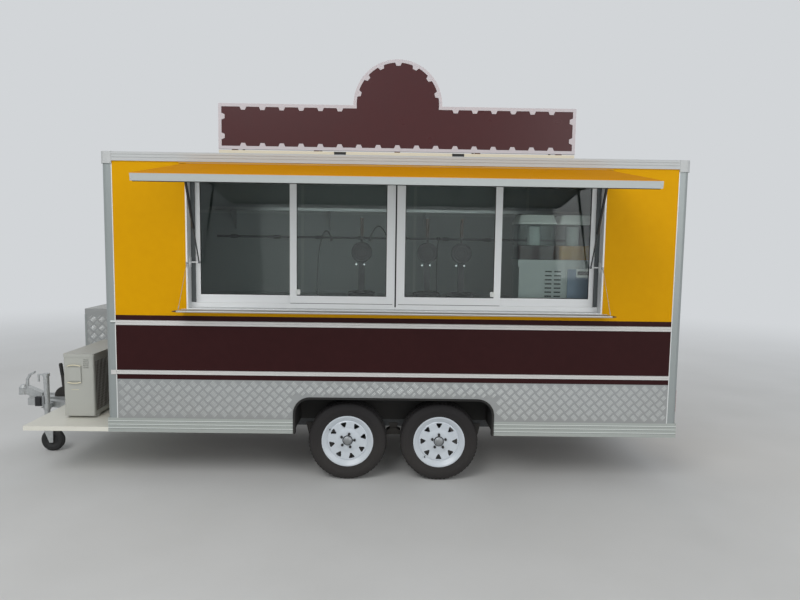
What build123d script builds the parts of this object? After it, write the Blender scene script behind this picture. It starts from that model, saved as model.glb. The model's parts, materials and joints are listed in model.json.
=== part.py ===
"""A twin-axle food trailer, serving hatch open, parked on its wheels and jockey wheel.

Frame: millimetres, +Z up from the ground, the hitch towards -X, the serving side towards -Y.
The origin is on the ground, under the middle of the whole trailer with its hatch open.
"""

import os
from math import cos, radians, sin

from build123d import *

os.makedirs("parts", exist_ok=True)

# Body shell
BODY_LENGTH = 4500
BODY_WIDTH = 2000
BODY_BOTTOM = 400
BODY_TOP = 2580
WALL = 45
ROOF = 50
FLOOR_TOP = 515
FLOOR = 40
POST_FACE = 80
POST_ROUND = 38
RAIL_HEIGHT = 70
RAIL_PROUD = 10
CAP_DROP = 20
JOINT_GAP = 1

# Bands of the side livery and its mouldings, as heights above the ground
BELTS = ((1251, 1291), (864, 898))
BELT_PROUD = 9
BAND_LOW = 826
BAND_HIGH = 1330
BAND_SKIN = 1.5
TREAD_SKIN = 2.5
TREAD_TOP = BAND_LOW
SILL_SKIN = 12

# Wheel arches
ARCH_HALF = 782
ARCH_TOP = 682
ARCH_ROUND = 120
ARCH_LIP = 14
ARCH_LINING = 3
ARCH_FLANGE = 4
WHEEL_BOX_SHEET = 3
WHEEL_BOX_DEPTH = 330

# Wheels and running gear
TYRE_RADIUS = 317
TYRE_WIDTH = 195
TYRE_BORE = 190
TYRE_SHOULDER = 42
TYRE_CROWN = 24
RIM_FLANGE = 208
RIM_WIDTH = 164
AXLE_SPACING = 740
WHEEL_INSET = 66
AXLE_TUBE = 50
SPINDLE_RADIUS = 22
SPRING_TO_TYRE = 99
SPRING_WIDTH = 46
SPRING_LEAF = 8
SPRING_SAG = 34
EQUALISER_HALF = 45

# Chassis and drawbar
FRAME_RAIL_BOTTOM = 375
FRAME_RAIL_TOP = 435
FRAME_RAIL_WIDTH = 50
COUPLING_REACH = 1265
COUPLING_WIDTH = 90
DRAWBAR_ARM = 60
DRAWBAR_NOSE = 1130
DECK_REACH = 670
DECK_SHEET = 4
DECK_RIM = 36
BALL_RADIUS = 25
BALL_HEIGHT = 480
BALL_PLAY = 0.5
HEAD_RADIUS = 45
HEAD_HEIGHT = 90
SHANK_LENGTH = 380

# Jockey wheel, standing beside the drawbar
JOCKEY_FROM_FRONT = 864
JOCKEY_OFF_ARM = 81
JOCKEY_RADIUS = 100
JOCKEY_WIDTH = 60
JOCKEY_TRAIL = 45
JOCKEY_TUBE = 24
JOCKEY_TOP = 700

# Serving opening, its windows and its hatch
OPENING_HALF = 1606
OPENING_LOW = 1390
HINGE_HEIGHT = 2497
HINGE_OUT = 9
HINGE_BEAD = 5
HINGE_PLAY = 0.3
HINGE_SHELL = 3
HINGE_NECK = 1.5
HINGE_OVERRUN = 54
HATCH_CLEAR = 6
HATCH_START = 10
HATCH_PROUD = 1
HATCH_THICK = 48
HATCH_BAR = 40
HATCH_SKIN = 3
HATCH_SLOPE = 9.4
LINER = 4
LINER_DEPTH = 150
LINER_FLANGE = 12
FLANGE_PROUD = 3
WINDOW_SET_BACK = 86
WINDOW_DEPTH = 58
WINDOW_GAP = 12
WINDOW_LIP = 12
WINDOW_SILL = 38
SASH_STILE = 54
SASH_RAIL = 62
SASH_THICK = 20
GLASS = 5

# Gas struts between hatch and jamb
STRUT_FROM_JAMB = 70
STRUT_PIN_DOWN = 270
STRUT_PIN_BEHIND = 65
JAMB_PIN_HEIGHT = 1745
JAMB_PIN_IN = 62
STRUT_CYLINDER_RADIUS = 10
STRUT_ROD_RADIUS = 5
STRUT_CYLINDER_LENGTH = 430
STRUT_ROD_LENGTH = 320
STRUT_BORE_FROM = 150
STRUT_EYE = 9
STRUT_EYE_THICK = 12
STRUT_PIN = 4
STRUT_STUD = 5

# Service shelf under the opening, and its stay wires
SHELF_TOP = 1383
SHELF_THICK = 12
SHELF_DEPTH = 140
SHELF_OVERRUN = 50
SHELF_HINGE_OUT = 19
SHELF_BEAD = 4

# Entry door in the rear end
DOOR_WIDTH = 700
DOOR_HEIGHT = 1850
DOOR_THICK = 40
DOOR_CLEAR = 9
DOOR_FROM_MIDDLE = 0
DOOR_LINING = 3
DOOR_FLANGE = 24
DOOR_HINGE_OUT = 14
KNUCKLE_RADIUS = 8
KNUCKLE_LENGTH = 60
KNUCKLE_PIN = 4
PIN_PLAY = 0.1

# Roof sign
SIGN_HALF = 1373
SIGN_LOW = 2618
SIGN_HIGH = 2962
SIGN_DOME = 340
SIGN_DOME_RISE = 7
SIGN_THICK = 20
SIGN_BORDER = 24
SIGN_RELIEF = 3
SIGN_SET_BACK = 60
TOOTH_PITCH = 148
TOOTH_WIDTH = 52
TOOTH_TIP = 30
TOOTH_DEEP = 24

# Load on the front deck: air conditioner and storage box
AC_WIDTH = 247
AC_LENGTH = 760
AC_HEIGHT = 516
AC_FOOT = 20
AC_TO_BOX = 75
AC_FROM_FRONT = 212
AC_SHEET = 12
FAN_RADIUS = 195
BOX_LENGTH = 850
BOX_WIDTH = 590
BOX_HEIGHT = 815
BOX_SHEET = 4
BOX_FROM_SIDE = 75
BOX_FROM_FRONT = 75
LID_HEIGHT = 45

# Galley
COUNTER_TOP = 1350
COUNTER_DEPTH = 520
BENCH_TOP = 1365
BENCH_DEPTH = 560
OVERHEAD_HEIGHT = 2245
OVERHEAD_DEPTH = 330

REAR_PROUD = 36

# Places worked out from the sizes
BODY_X = (COUPLING_REACH - REAR_PROUD) / 2
FRONT_X = BODY_X - BODY_LENGTH / 2
REAR_X = BODY_X + BODY_LENGTH / 2
HATCH_HALF = OPENING_HALF - HATCH_CLEAR
HATCH_FREE_EDGE = HINGE_HEIGHT - OPENING_LOW - HATCH_CLEAR
HATCH_OPEN = 90 - HATCH_SLOPE
HATCH_OUT = (
    HINGE_OUT + HATCH_FREE_EDGE * cos(radians(HATCH_SLOPE)) + HATCH_PROUD * sin(radians(HATCH_SLOPE))
)
BODY_Y = (HATCH_OUT - RAIL_PROUD) / 2
NEAR_Y = BODY_Y - BODY_WIDTH / 2
FAR_Y = BODY_Y + BODY_WIDTH / 2
SIDES = ((NEAR_Y, 1), (FAR_Y, -1))
FLOOR_BOTTOM = FLOOR_TOP - FLOOR
ROOF_LOW = BODY_TOP - ROOF
WALL_TOP = BODY_TOP - RAIL_HEIGHT
WHEEL_Y = BODY_WIDTH / 2 - WHEEL_INSET - TYRE_WIDTH / 2
SPRING_LINE = WHEEL_Y - TYRE_WIDTH / 2 - SPRING_TO_TYRE
HINGE_HALF = OPENING_HALF + HINGE_OVERRUN
SHELF_HALF = OPENING_HALF + SHELF_OVERRUN
DECK_TOP = FRAME_RAIL_TOP + DECK_SHEET
DOOR_LOW = FLOOR_TOP
DOOR_HIGH = FLOOR_TOP + DOOR_HEIGHT
DOOR_LEFT = BODY_Y + DOOR_FROM_MIDDLE - DOOR_WIDTH / 2
DOOR_RIGHT = DOOR_LEFT + DOOR_WIDTH
HINGE_Y = NEAR_Y - HINGE_OUT


def block(x, y, z, mode=Mode.ADD):
    """Add a block to the open part, from (low, high) pairs along each axis."""
    with Locations(tuple((low + high) / 2 for low, high in (x, y, z))):
        Box(x[1] - x[0], y[1] - y[0], z[1] - z[0], mode=mode)


def inward(face, sign, low, high):
    """Range across a side wall, from low to high measured inwards from its outer face."""
    return sorted((face + sign * low, face + sign * high))


def save(builder, name):
    """Label a finished piece and write its STEP file."""
    builder.part.label = name
    export_step(builder.part, f"parts/{name}.step")


def upright(y, x=0, z=0):
    """Plane across the trailer at y, facing the serving side, with local x along and local y up."""
    return Plane(origin=(x, y, z), x_dir=(1, 0, 0), z_dir=(0, -1, 0))


def crosswise(x, y=0, z=0):
    """Plane at x facing the rear, with local x towards the far side and local y up."""
    return Plane(origin=(x, y, z), x_dir=(0, 1, 0), z_dir=(1, 0, 0))


# Chassis: two long rails, cross beams over them and the A-frame drawbar between the rails
with BuildPart() as main_rails:
    for sign in (-1, 1):
        middle = BODY_Y + sign * SPRING_LINE
        block(
            (FRONT_X + 20, REAR_X - 20),
            (middle - FRAME_RAIL_WIDTH / 2, middle + FRAME_RAIL_WIDTH / 2),
            (FRAME_RAIL_BOTTOM, FRAME_RAIL_TOP),
        )
save(main_rails, "main_rails")

CROSS_BEAM = 40
CROSS_BEAMS = (-2210, -1500, -850, 850, 1500, 2210)
with BuildPart() as cross_beams:
    for x in CROSS_BEAMS:
        block(
            (BODY_X + x - CROSS_BEAM / 2, BODY_X + x + CROSS_BEAM / 2),
            (NEAR_Y + SILL_SKIN, FAR_Y - SILL_SKIN),
            (FRAME_RAIL_TOP, FLOOR_BOTTOM),
        )
save(cross_beams, "cross_beams")

# Each arm runs from the coupling to the inner face of a long rail
NOSE_X = FRONT_X - DRAWBAR_NOSE
ARM_MEET_X = FRONT_X + 500
ARM_END_X = FRONT_X + 620
ARM_END_Y = SPRING_LINE - FRAME_RAIL_WIDTH / 2
ARM_NOSE_Y = COUPLING_WIDTH / 2 + DRAWBAR_ARM
NOSE_PLATE = 6


def arm_face(x):
    """Distance of an arm's outer face from the centre line, at a place along the trailer."""
    return ARM_NOSE_Y + (ARM_END_Y - ARM_NOSE_Y) * (x - NOSE_X) / (ARM_MEET_X - NOSE_X)


with BuildPart() as drawbar_arms:
    with BuildSketch(Plane.XY.offset(FRAME_RAIL_BOTTOM)):
        for sign in (-1, 1):
            Polygon(
                (NOSE_X, BODY_Y + sign * COUPLING_WIDTH / 2),
                (NOSE_X, BODY_Y + sign * ARM_NOSE_Y),
                (ARM_MEET_X, BODY_Y + sign * ARM_END_Y),
                (ARM_END_X, BODY_Y + sign * ARM_END_Y),
                (ARM_END_X, BODY_Y + sign * (ARM_END_Y - DRAWBAR_ARM)),
                (ARM_MEET_X, BODY_Y + sign * (ARM_END_Y - DRAWBAR_ARM)),
                align=None,
            )
    extrude(amount=FRAME_RAIL_TOP - FRAME_RAIL_BOTTOM)
    block(
        (NOSE_X, NOSE_X + 200),
        (BODY_Y - ARM_NOSE_Y, BODY_Y + ARM_NOSE_Y),
        (FRAME_RAIL_BOTTOM - NOSE_PLATE, FRAME_RAIL_BOTTOM),
    )
save(drawbar_arms, "drawbar_arms")

# Ball coupling: a cast cup and a sloping neck on a square shank, with its lever raised over the neck
COUPLING_TIP_X = FRONT_X - COUPLING_REACH
BALL_X = COUPLING_TIP_X + HEAD_RADIUS
HEAD_LOW = BALL_HEIGHT - BALL_RADIUS - 5
HEAD_TOP = HEAD_LOW + HEAD_HEIGHT
SOCKET_TOP = HEAD_LOW + 2 * BALL_RADIUS + 10
SHANK_END_X = NOSE_X + SHANK_LENGTH
SHANK_START_X = NOSE_X - 20
CUP_LIP = 10
CUP_WAIST = 4
CUP_CROWN = 24
NECK_HALF = 30
NECK_END_X = NOSE_X + 95
NECK_DROP = 34
NECK_SINK = 4
LEVER_HALF = 8
LEVER_PIVOT = (COUPLING_TIP_X + 76, HEAD_TOP)
LEVER_PIN = 9
# Lever from its foot round its back and grip, as (along, up) from its pivot
LEVER = ((-14, -12), (-6, 52), (22, 100), (74, 126), (80, 112), (40, 88), (16, 50), (16, -14))
GRIP_HALF = 18
with BuildPart() as coupling_head:
    block(
        (SHANK_START_X, SHANK_END_X),
        (BODY_Y - COUPLING_WIDTH / 2, BODY_Y + COUPLING_WIDTH / 2),
        (FRAME_RAIL_BOTTOM, FRAME_RAIL_TOP),
    )
    with BuildSketch(Plane(origin=(BALL_X, BODY_Y, HEAD_LOW), x_dir=(1, 0, 0), z_dir=(0, -1, 0))):
        Polygon(
            (0, 0),
            (HEAD_RADIUS, 0),
            (HEAD_RADIUS, CUP_LIP),
            (HEAD_RADIUS - CUP_WAIST, CUP_LIP),
            (HEAD_RADIUS - CUP_WAIST, HEAD_HEIGHT - CUP_CROWN),
            (HEAD_RADIUS - CUP_CROWN, HEAD_HEIGHT),
            (0, HEAD_HEIGHT),
            align=None,
        )
    revolve(axis=Axis((BALL_X, BODY_Y, 0), (0, 0, 1)))
    with BuildSketch(upright(BODY_Y)):
        Polygon(
            (BALL_X, HEAD_LOW),
            (BALL_X + HEAD_RADIUS, HEAD_LOW),
            (SHANK_START_X, FRAME_RAIL_TOP - NECK_SINK),
            (NECK_END_X, FRAME_RAIL_TOP - NECK_SINK),
            (NECK_END_X, FRAME_RAIL_TOP + NECK_DROP),
            (BALL_X + HEAD_RADIUS, HEAD_TOP - CUP_CROWN / 2),
            (BALL_X, HEAD_TOP - CUP_CROWN / 2),
            align=None,
        )
    extrude(amount=NECK_HALF, both=True)
    with BuildSketch(upright(BODY_Y, *LEVER_PIVOT)):
        Polygon(*LEVER, align=None)
    extrude(amount=LEVER_HALF, both=True)
    with BuildSketch(upright(BODY_Y, *LEVER_PIVOT)):
        Polygon(LEVER[2], LEVER[3], LEVER[4], LEVER[5], align=None)
    extrude(amount=GRIP_HALF, both=True)
    with BuildSketch(upright(BODY_Y, LEVER_PIVOT[0], LEVER_PIVOT[1] - CUP_CROWN)):
        Circle(LEVER_PIN)
    extrude(amount=NECK_HALF + LEVER_PIN, both=True)
    with BuildSketch(Plane.XY.offset(HEAD_LOW)):
        with Locations((BALL_X, BODY_Y)):
            Circle(BALL_RADIUS + BALL_PLAY)
    extrude(amount=SOCKET_TOP - HEAD_LOW, mode=Mode.SUBTRACT)
save(coupling_head, "coupling_head")

# Parking brake behind the coupling: a toothed sector on its bracket, and a lever that leans forwards
BRAKE_X = SHANK_END_X - 90
BRAKE_FOOT = 80
BRAKE_HALF = 25
BRAKE_STEP = 45
SECTOR_RADIUS = 92
SECTOR_SHEET = 5
BRAKE_REACH = 300
BRAKE_LEAN = 30
BRAKE_HEEL = 18
BRAKE_TIP = 12
with BuildPart() as handbrake:
    block(
        (BRAKE_X - BRAKE_FOOT, BRAKE_X + BRAKE_FOOT),
        (BODY_Y - BRAKE_HALF, BODY_Y + BRAKE_HALF),
        (FRAME_RAIL_TOP, FRAME_RAIL_TOP + SECTOR_SHEET),
    )
    block(
        (BRAKE_X - BRAKE_FOOT + BRAKE_HALF, BRAKE_X + BRAKE_FOOT - BRAKE_HALF),
        (BODY_Y - 2 * SECTOR_SHEET, BODY_Y + 2 * SECTOR_SHEET),
        (FRAME_RAIL_TOP, FRAME_RAIL_TOP + BRAKE_STEP),
    )
    with BuildSketch(upright(BODY_Y, BRAKE_X, FRAME_RAIL_TOP)):
        Circle(SECTOR_RADIUS)
        with PolarLocations(SECTOR_RADIUS, 11, start_angle=30, angular_range=120):
            RegularPolygon(5, 3, mode=Mode.SUBTRACT)
        Rectangle(2 * SECTOR_RADIUS, SECTOR_RADIUS, align=(Align.CENTER, Align.MAX), mode=Mode.SUBTRACT)
    extrude(amount=SECTOR_SHEET)
    with BuildSketch(upright(BODY_Y, BRAKE_X, FRAME_RAIL_TOP + BRAKE_STEP)):
        Polygon(
            (-BRAKE_HEEL, -BRAKE_HEEL),
            (BRAKE_HEEL, -BRAKE_HEEL),
            (BRAKE_TIP - BRAKE_LEAN, BRAKE_REACH - BRAKE_STEP),
            (-BRAKE_TIP - BRAKE_LEAN, BRAKE_REACH - BRAKE_STEP),
            align=None,
        )
    extrude(amount=-2 * SECTOR_SHEET)
save(handbrake, "handbrake")

# Axles with their stub spindles and brake back plates
AXLE_Z = TYRE_RADIUS
BACK_PLATE_Y = WHEEL_Y - 62
BACK_PLATE_RADIUS = 120
SPINDLE_REACH = 90
BACK_PLATE = 10
# Each axle's name, place and how far its wheels have rolled from an upright hole, in degrees
AXLES = (("front", BODY_X - AXLE_SPACING / 2, 59), ("rear", BODY_X + AXLE_SPACING / 2, 0))
with BuildPart() as axles:
    for _, x, _ in AXLES:
        block(
            (x - AXLE_TUBE / 2, x + AXLE_TUBE / 2),
            (BODY_Y - BACK_PLATE_Y, BODY_Y + BACK_PLATE_Y),
            (AXLE_Z - AXLE_TUBE / 2, AXLE_Z + AXLE_TUBE / 2),
        )
        for sign in (-1, 1):
            for radius, reach in ((BACK_PLATE_RADIUS, BACK_PLATE), (SPINDLE_RADIUS, SPINDLE_REACH)):
                with BuildSketch(upright(BODY_Y + sign * BACK_PLATE_Y, x, AXLE_Z)):
                    Circle(radius)
                extrude(amount=-sign * reach)
save(axles, "axles")

# Leaf springs slung under the axles, from hanger to equaliser to hanger
SPRING_TOP = AXLE_Z - AXLE_TUBE / 2 - 0.3
SPRING_HALF = AXLE_SPACING / 2 - EQUALISER_HALF
SPRING_EYE_Z = SPRING_TOP + SPRING_SAG - SPRING_LEAF / 2
SPRING_PIN = 8
# Share of the spring's length that each leaf spans, and how many leaves lie over it
LEAVES = ((1.0, 0), (0.78, 1), (0.52, 2))
U_BOLT = 6
PLATE_SHEET = 8
PLATE_HALF = AXLE_TUBE / 2 + 3 * U_BOLT + 4
PLATE_REACH = SPRING_WIDTH / 2 + 3 * U_BOLT
CLAMP_CLEAR = 0.3
with BuildPart() as leaf_springs:
    for side in (-1, 1):
        for _, x, _ in AXLES:
            with BuildSketch(upright(BODY_Y + side * SPRING_LINE, x)):
                for share, step in LEAVES:
                    reach = share * SPRING_HALF
                    lift = SPRING_SAG * share * share
                    top = SPRING_TOP - step * SPRING_LEAF
                    with BuildLine():
                        upper = ThreePointArc((-reach, top + lift), (0, top), (reach, top + lift))
                        lower = ThreePointArc(
                            (-reach, top + lift - SPRING_LEAF),
                            (0, top - SPRING_LEAF),
                            (reach, top + lift - SPRING_LEAF),
                        )
                        Line(upper @ 0, lower @ 0)
                        Line(upper @ 1, lower @ 1)
                    make_face()
                with Locations((-SPRING_HALF, SPRING_EYE_Z), (SPRING_HALF, SPRING_EYE_Z)):
                    Circle(2 * SPRING_PIN)
                    Circle(SPRING_PIN + PIN_PLAY, mode=Mode.SUBTRACT)
            extrude(amount=SPRING_WIDTH / 2, both=True)
            middle = BODY_Y + side * SPRING_LINE
            plate_top = SPRING_TOP - len(LEAVES) * SPRING_LEAF + 1
            block(
                (x - PLATE_HALF, x + PLATE_HALF),
                (middle - PLATE_REACH, middle + PLATE_REACH),
                (plate_top - PLATE_SHEET, plate_top),
            )
            bolt_top = AXLE_Z + AXLE_TUBE / 2 + CLAMP_CLEAR
            for out in (-1, 1):
                bolt_y = middle + out * (SPRING_WIDTH / 2 + U_BOLT + CLAMP_CLEAR)
                leg = AXLE_TUBE / 2 + U_BOLT + CLAMP_CLEAR
                block(
                    (x - leg - U_BOLT, x + leg + U_BOLT),
                    (bolt_y - U_BOLT, bolt_y + U_BOLT),
                    (bolt_top, bolt_top + 2 * U_BOLT),
                )
                for way in (-1, 1):
                    with BuildSketch(Plane.XY.offset(plate_top - 3 * PLATE_SHEET)):
                        with Locations((x + way * leg, bolt_y)):
                            Circle(U_BOLT)
                    extrude(amount=bolt_top - plate_top + 3 * PLATE_SHEET + U_BOLT)
save(leaf_springs, "leaf_springs")

# Hangers clasp the long rails and carry the spring eyes; the middle ones pivot a rocking equaliser
HANGER_SHEET = 8
HANGER_LAP = 30
HANGER_TOP_HALF = 40
HANGER_LOW_HALF = 18
PIN_OVERRUN = 6
ROCKER_RISE = 26
ROCKER_NOSE = 16
HANGERS = (
    (BODY_X - AXLE_SPACING / 2 - SPRING_HALF, SPRING_EYE_Z),
    (BODY_X, SPRING_EYE_Z + ROCKER_RISE),
    (BODY_X + AXLE_SPACING / 2 + SPRING_HALF, SPRING_EYE_Z),
)
with BuildPart() as spring_hangers:
    for side in (-1, 1):
        middle = BODY_Y + side * SPRING_LINE
        for x, pin_z in HANGERS:
            for face in (-1, 1):
                with BuildSketch(upright(middle + face * FRAME_RAIL_WIDTH / 2, x)):
                    Polygon(
                        (-HANGER_TOP_HALF, FRAME_RAIL_BOTTOM + HANGER_LAP),
                        (HANGER_TOP_HALF, FRAME_RAIL_BOTTOM + HANGER_LAP),
                        (HANGER_LOW_HALF, pin_z - HANGER_LOW_HALF),
                        (-HANGER_LOW_HALF, pin_z - HANGER_LOW_HALF),
                        align=None,
                    )
                extrude(amount=-face * HANGER_SHEET)
            with BuildSketch(upright(middle, x, pin_z)):
                Circle(SPRING_PIN)
            extrude(amount=FRAME_RAIL_WIDTH / 2 + 2 * HANGER_SHEET + PIN_OVERRUN, both=True)
        with BuildSketch(upright(middle, BODY_X, SPRING_EYE_Z)):
            with Locations((-EQUALISER_HALF, 0), (EQUALISER_HALF, 0)):
                Circle(SPRING_PIN)
        extrude(amount=FRAME_RAIL_WIDTH / 2 + 2 * HANGER_SHEET + PIN_OVERRUN, both=True)
        for face in (-1, 1):
            with BuildSketch(upright(middle + face * (FRAME_RAIL_WIDTH / 2 + HANGER_SHEET), BODY_X)):
                Polygon(
                    (-EQUALISER_HALF - ROCKER_NOSE, SPRING_EYE_Z - ROCKER_NOSE),
                    (EQUALISER_HALF + ROCKER_NOSE, SPRING_EYE_Z - ROCKER_NOSE),
                    (EQUALISER_HALF + ROCKER_NOSE, SPRING_EYE_Z + ROCKER_NOSE),
                    (ROCKER_NOSE, SPRING_EYE_Z + ROCKER_RISE + ROCKER_NOSE),
                    (-ROCKER_NOSE, SPRING_EYE_Z + ROCKER_RISE + ROCKER_NOSE),
                    (-EQUALISER_HALF - ROCKER_NOSE, SPRING_EYE_Z + ROCKER_NOSE),
                    align=None,
                )
            extrude(amount=-face * HANGER_SHEET)
save(spring_hangers, "spring_hangers")

# Wheels: each a tyre and a pressed steel rim with eight triangular holes
RIM_SHEET = 6
RIM_HOLES = 8
HOLE_PITCH = 133
HOLE_SIDE = 58
HOLE_ROUND = 8
HUB_PITCH = 56
LUG_NUTS = 5
RIM_INNER = TYRE_BORE - RIM_SHEET
FLANGE_IN = RIM_WIDTH / 2 - RIM_SHEET
HUB_BORE = SPINDLE_RADIUS + PIN_PLAY
CAP_BACK = 38
CAP_FACE = 74
CAP_RADIUS = 32
NUT_HALF = 9.5
NUT_REACH = 22
RIM_END = RIM_WIDTH / 2
# The pressed disc and the well's outer lip, as (out from the wheel's middle, radius), back then front
DISC_BACK = ((38, RIM_INNER), (50, 150), (44, 100), (-30, 52))
DISC_FRONT = ((58, 38), (58, 72), (54, 100), (60, 156), (56, 162), (62, 168))
LIP_RADIUS = 198
TYRE_SIDE = (
    (FLANGE_IN, TYRE_BORE),
    (FLANGE_IN, RIM_FLANGE + 1),
    (TYRE_WIDTH / 2, TYRE_RADIUS - TYRE_SHOULDER),
    (TYRE_WIDTH / 2 - TYRE_CROWN, TYRE_RADIUS),
)
for axle, x, turn in AXLES:
    for side, sign in (("near", -1), ("far", 1)):
        centre = (x, BODY_Y + sign * WHEEL_Y, AXLE_Z)
        section = Plane(origin=centre, x_dir=(0, sign, 0), z_dir=(sign, 0, 0))
        spin = Axis(centre, (0, sign, 0))
        with BuildPart() as tyre:
            with BuildSketch(section):
                Polygon(*TYRE_SIDE, *[(-along, out) for along, out in reversed(TYRE_SIDE)], align=None)
            revolve(axis=spin)
        save(tyre, f"tyre_{axle}_{side}")

        with BuildPart() as rim:
            with BuildSketch(section):
                Polygon(
                    (-RIM_END, RIM_FLANGE),
                    (-RIM_END, RIM_INNER),
                    *DISC_BACK,
                    (DISC_BACK[-1][0], HUB_BORE),
                    (CAP_BACK, HUB_BORE),
                    (CAP_BACK, 0),
                    (CAP_FACE, 0),
                    (CAP_FACE, CAP_RADIUS),
                    *DISC_FRONT,
                    (RIM_END, LIP_RADIUS),
                    (RIM_END, RIM_FLANGE),
                    (FLANGE_IN, RIM_FLANGE),
                    (FLANGE_IN, TYRE_BORE),
                    (-FLANGE_IN, TYRE_BORE),
                    (-FLANGE_IN, RIM_FLANGE),
                    align=None,
                )
            revolve(axis=spin)
            face = Plane(origin=centre, x_dir=(1, 0, 0), z_dir=(0, sign, 0))
            with BuildSketch(face):
                with PolarLocations(HOLE_PITCH, RIM_HOLES, start_angle=90 - sign * turn):
                    Triangle(a=HOLE_SIDE, b=HOLE_SIDE, c=HOLE_SIDE, rotation=90)
                fillet(vertices(), HOLE_ROUND)
            extrude(amount=RIM_WIDTH / 2, mode=Mode.SUBTRACT)
            with BuildSketch(face.offset(DISC_FRONT[0][0] - HANGER_SHEET)):
                with PolarLocations(HUB_PITCH, LUG_NUTS, start_angle=90 - sign * turn):
                    RegularPolygon(NUT_HALF, 6)
            extrude(amount=NUT_REACH)
        save(rim, f"rim_{axle}_{side}")

# Jockey wheel: a clamped tube on the near arm, and a fork that swivels in it
JOCKEY_X = FRONT_X - JOCKEY_FROM_FRONT
JOCKEY_Y = BODY_Y - arm_face(JOCKEY_X) - JOCKEY_OFF_ARM
JOCKEY_AXLE_X = JOCKEY_X + JOCKEY_TRAIL
JOCKEY_SPINDLE = 12
JOCKEY_PIN = 8
JOCKEY_HUB = 14
FORK_SPINDLE = 90
FORK_LOW = 2 * JOCKEY_RADIUS + 6
FORK_TOP = FORK_LOW + 34
CLAMP_LOW = FRAME_RAIL_TOP - 55
CLAMP_HEIGHT = 50
CLAMP_HALF = 22
CLAMP_WALL = 8
CRANK_REACH = 68
CRANK_DROP = 70
CRANK_HALF = 6
CRANK_GRIP = 9
CAP_HEIGHT = 20
with BuildPart() as jockey_tube:
    for low, high, radius in (
        (FORK_TOP + HINGE_PLAY, JOCKEY_TOP, JOCKEY_TUBE),
        (CLAMP_LOW, CLAMP_LOW + CLAMP_HEIGHT, JOCKEY_TUBE + CLAMP_WALL),
        (JOCKEY_TOP - CAP_HEIGHT, JOCKEY_TOP + CRANK_HALF, JOCKEY_TUBE + CRANK_HALF),
    ):
        with BuildSketch(Plane.XY.offset(low)):
            with Locations((JOCKEY_X, JOCKEY_Y)):
                Circle(radius)
        extrude(amount=high - low)
    with BuildSketch(Plane.XY.offset(CLAMP_LOW + 5)):
        Polygon(
            (JOCKEY_X - CLAMP_HALF, JOCKEY_Y),
            (JOCKEY_X + CLAMP_HALF, JOCKEY_Y),
            (JOCKEY_X + CLAMP_HALF, BODY_Y - arm_face(JOCKEY_X + CLAMP_HALF)),
            (JOCKEY_X - CLAMP_HALF, BODY_Y - arm_face(JOCKEY_X - CLAMP_HALF)),
            align=None,
        )
    extrude(amount=CLAMP_HEIGHT - 10)
    block(
        (JOCKEY_X - CRANK_REACH - CRANK_HALF, JOCKEY_X),
        (JOCKEY_Y - CRANK_HALF, JOCKEY_Y + CRANK_HALF),
        (JOCKEY_TOP - 2 * CRANK_HALF, JOCKEY_TOP),
    )
    with BuildSketch(Plane.XY.offset(JOCKEY_TOP - CRANK_DROP)):
        with Locations((JOCKEY_X - CRANK_REACH, JOCKEY_Y)):
            Circle(CRANK_GRIP)
    extrude(amount=CRANK_DROP - CRANK_HALF)
    with BuildSketch(upright(JOCKEY_Y, JOCKEY_X - CLAMP_HALF, CLAMP_LOW + CLAMP_HEIGHT / 2)):
        Circle(CRANK_HALF)
    extrude(amount=JOCKEY_TUBE + CLAMP_WALL + CLAMP_HALF)
    with BuildSketch(Plane.XY.offset(FORK_TOP)):
        with Locations((JOCKEY_X, JOCKEY_Y)):
            Circle(JOCKEY_SPINDLE + PIN_PLAY)
    extrude(amount=FORK_SPINDLE + 10, mode=Mode.SUBTRACT)
save(jockey_tube, "jockey_tube")

CHEEK_SHEET = 6
CHEEK_IN = JOCKEY_WIDTH / 2 + 5
with BuildPart() as jockey_fork:
    for low, high, radius in (
        (FORK_LOW, FORK_TOP, JOCKEY_TUBE + 4),
        (FORK_TOP, FORK_TOP + FORK_SPINDLE, JOCKEY_SPINDLE),
    ):
        with BuildSketch(Plane.XY.offset(low)):
            with Locations((JOCKEY_X, JOCKEY_Y)):
                Circle(radius)
        extrude(amount=high - low)
    block(
        (JOCKEY_X - JOCKEY_TUBE, JOCKEY_AXLE_X + 20),
        (JOCKEY_Y - CHEEK_IN - CHEEK_SHEET, JOCKEY_Y + CHEEK_IN + CHEEK_SHEET),
        (FORK_LOW, FORK_LOW + CHEEK_SHEET),
    )
    for sign in (-1, 1):
        with BuildSketch(upright(JOCKEY_Y + sign * CHEEK_IN)):
            Polygon(
                (JOCKEY_X - JOCKEY_TUBE, FORK_LOW + CHEEK_SHEET),
                (JOCKEY_AXLE_X + 20, FORK_LOW + CHEEK_SHEET),
                (JOCKEY_AXLE_X + 16, JOCKEY_RADIUS - 18),
                (JOCKEY_AXLE_X - 16, JOCKEY_RADIUS - 18),
                align=None,
            )
        extrude(amount=-sign * CHEEK_SHEET)
    with BuildSketch(upright(JOCKEY_Y, JOCKEY_AXLE_X, JOCKEY_RADIUS)):
        Circle(JOCKEY_PIN)
    extrude(amount=CHEEK_IN + CHEEK_SHEET, both=True)
save(jockey_fork, "jockey_fork")

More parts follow.
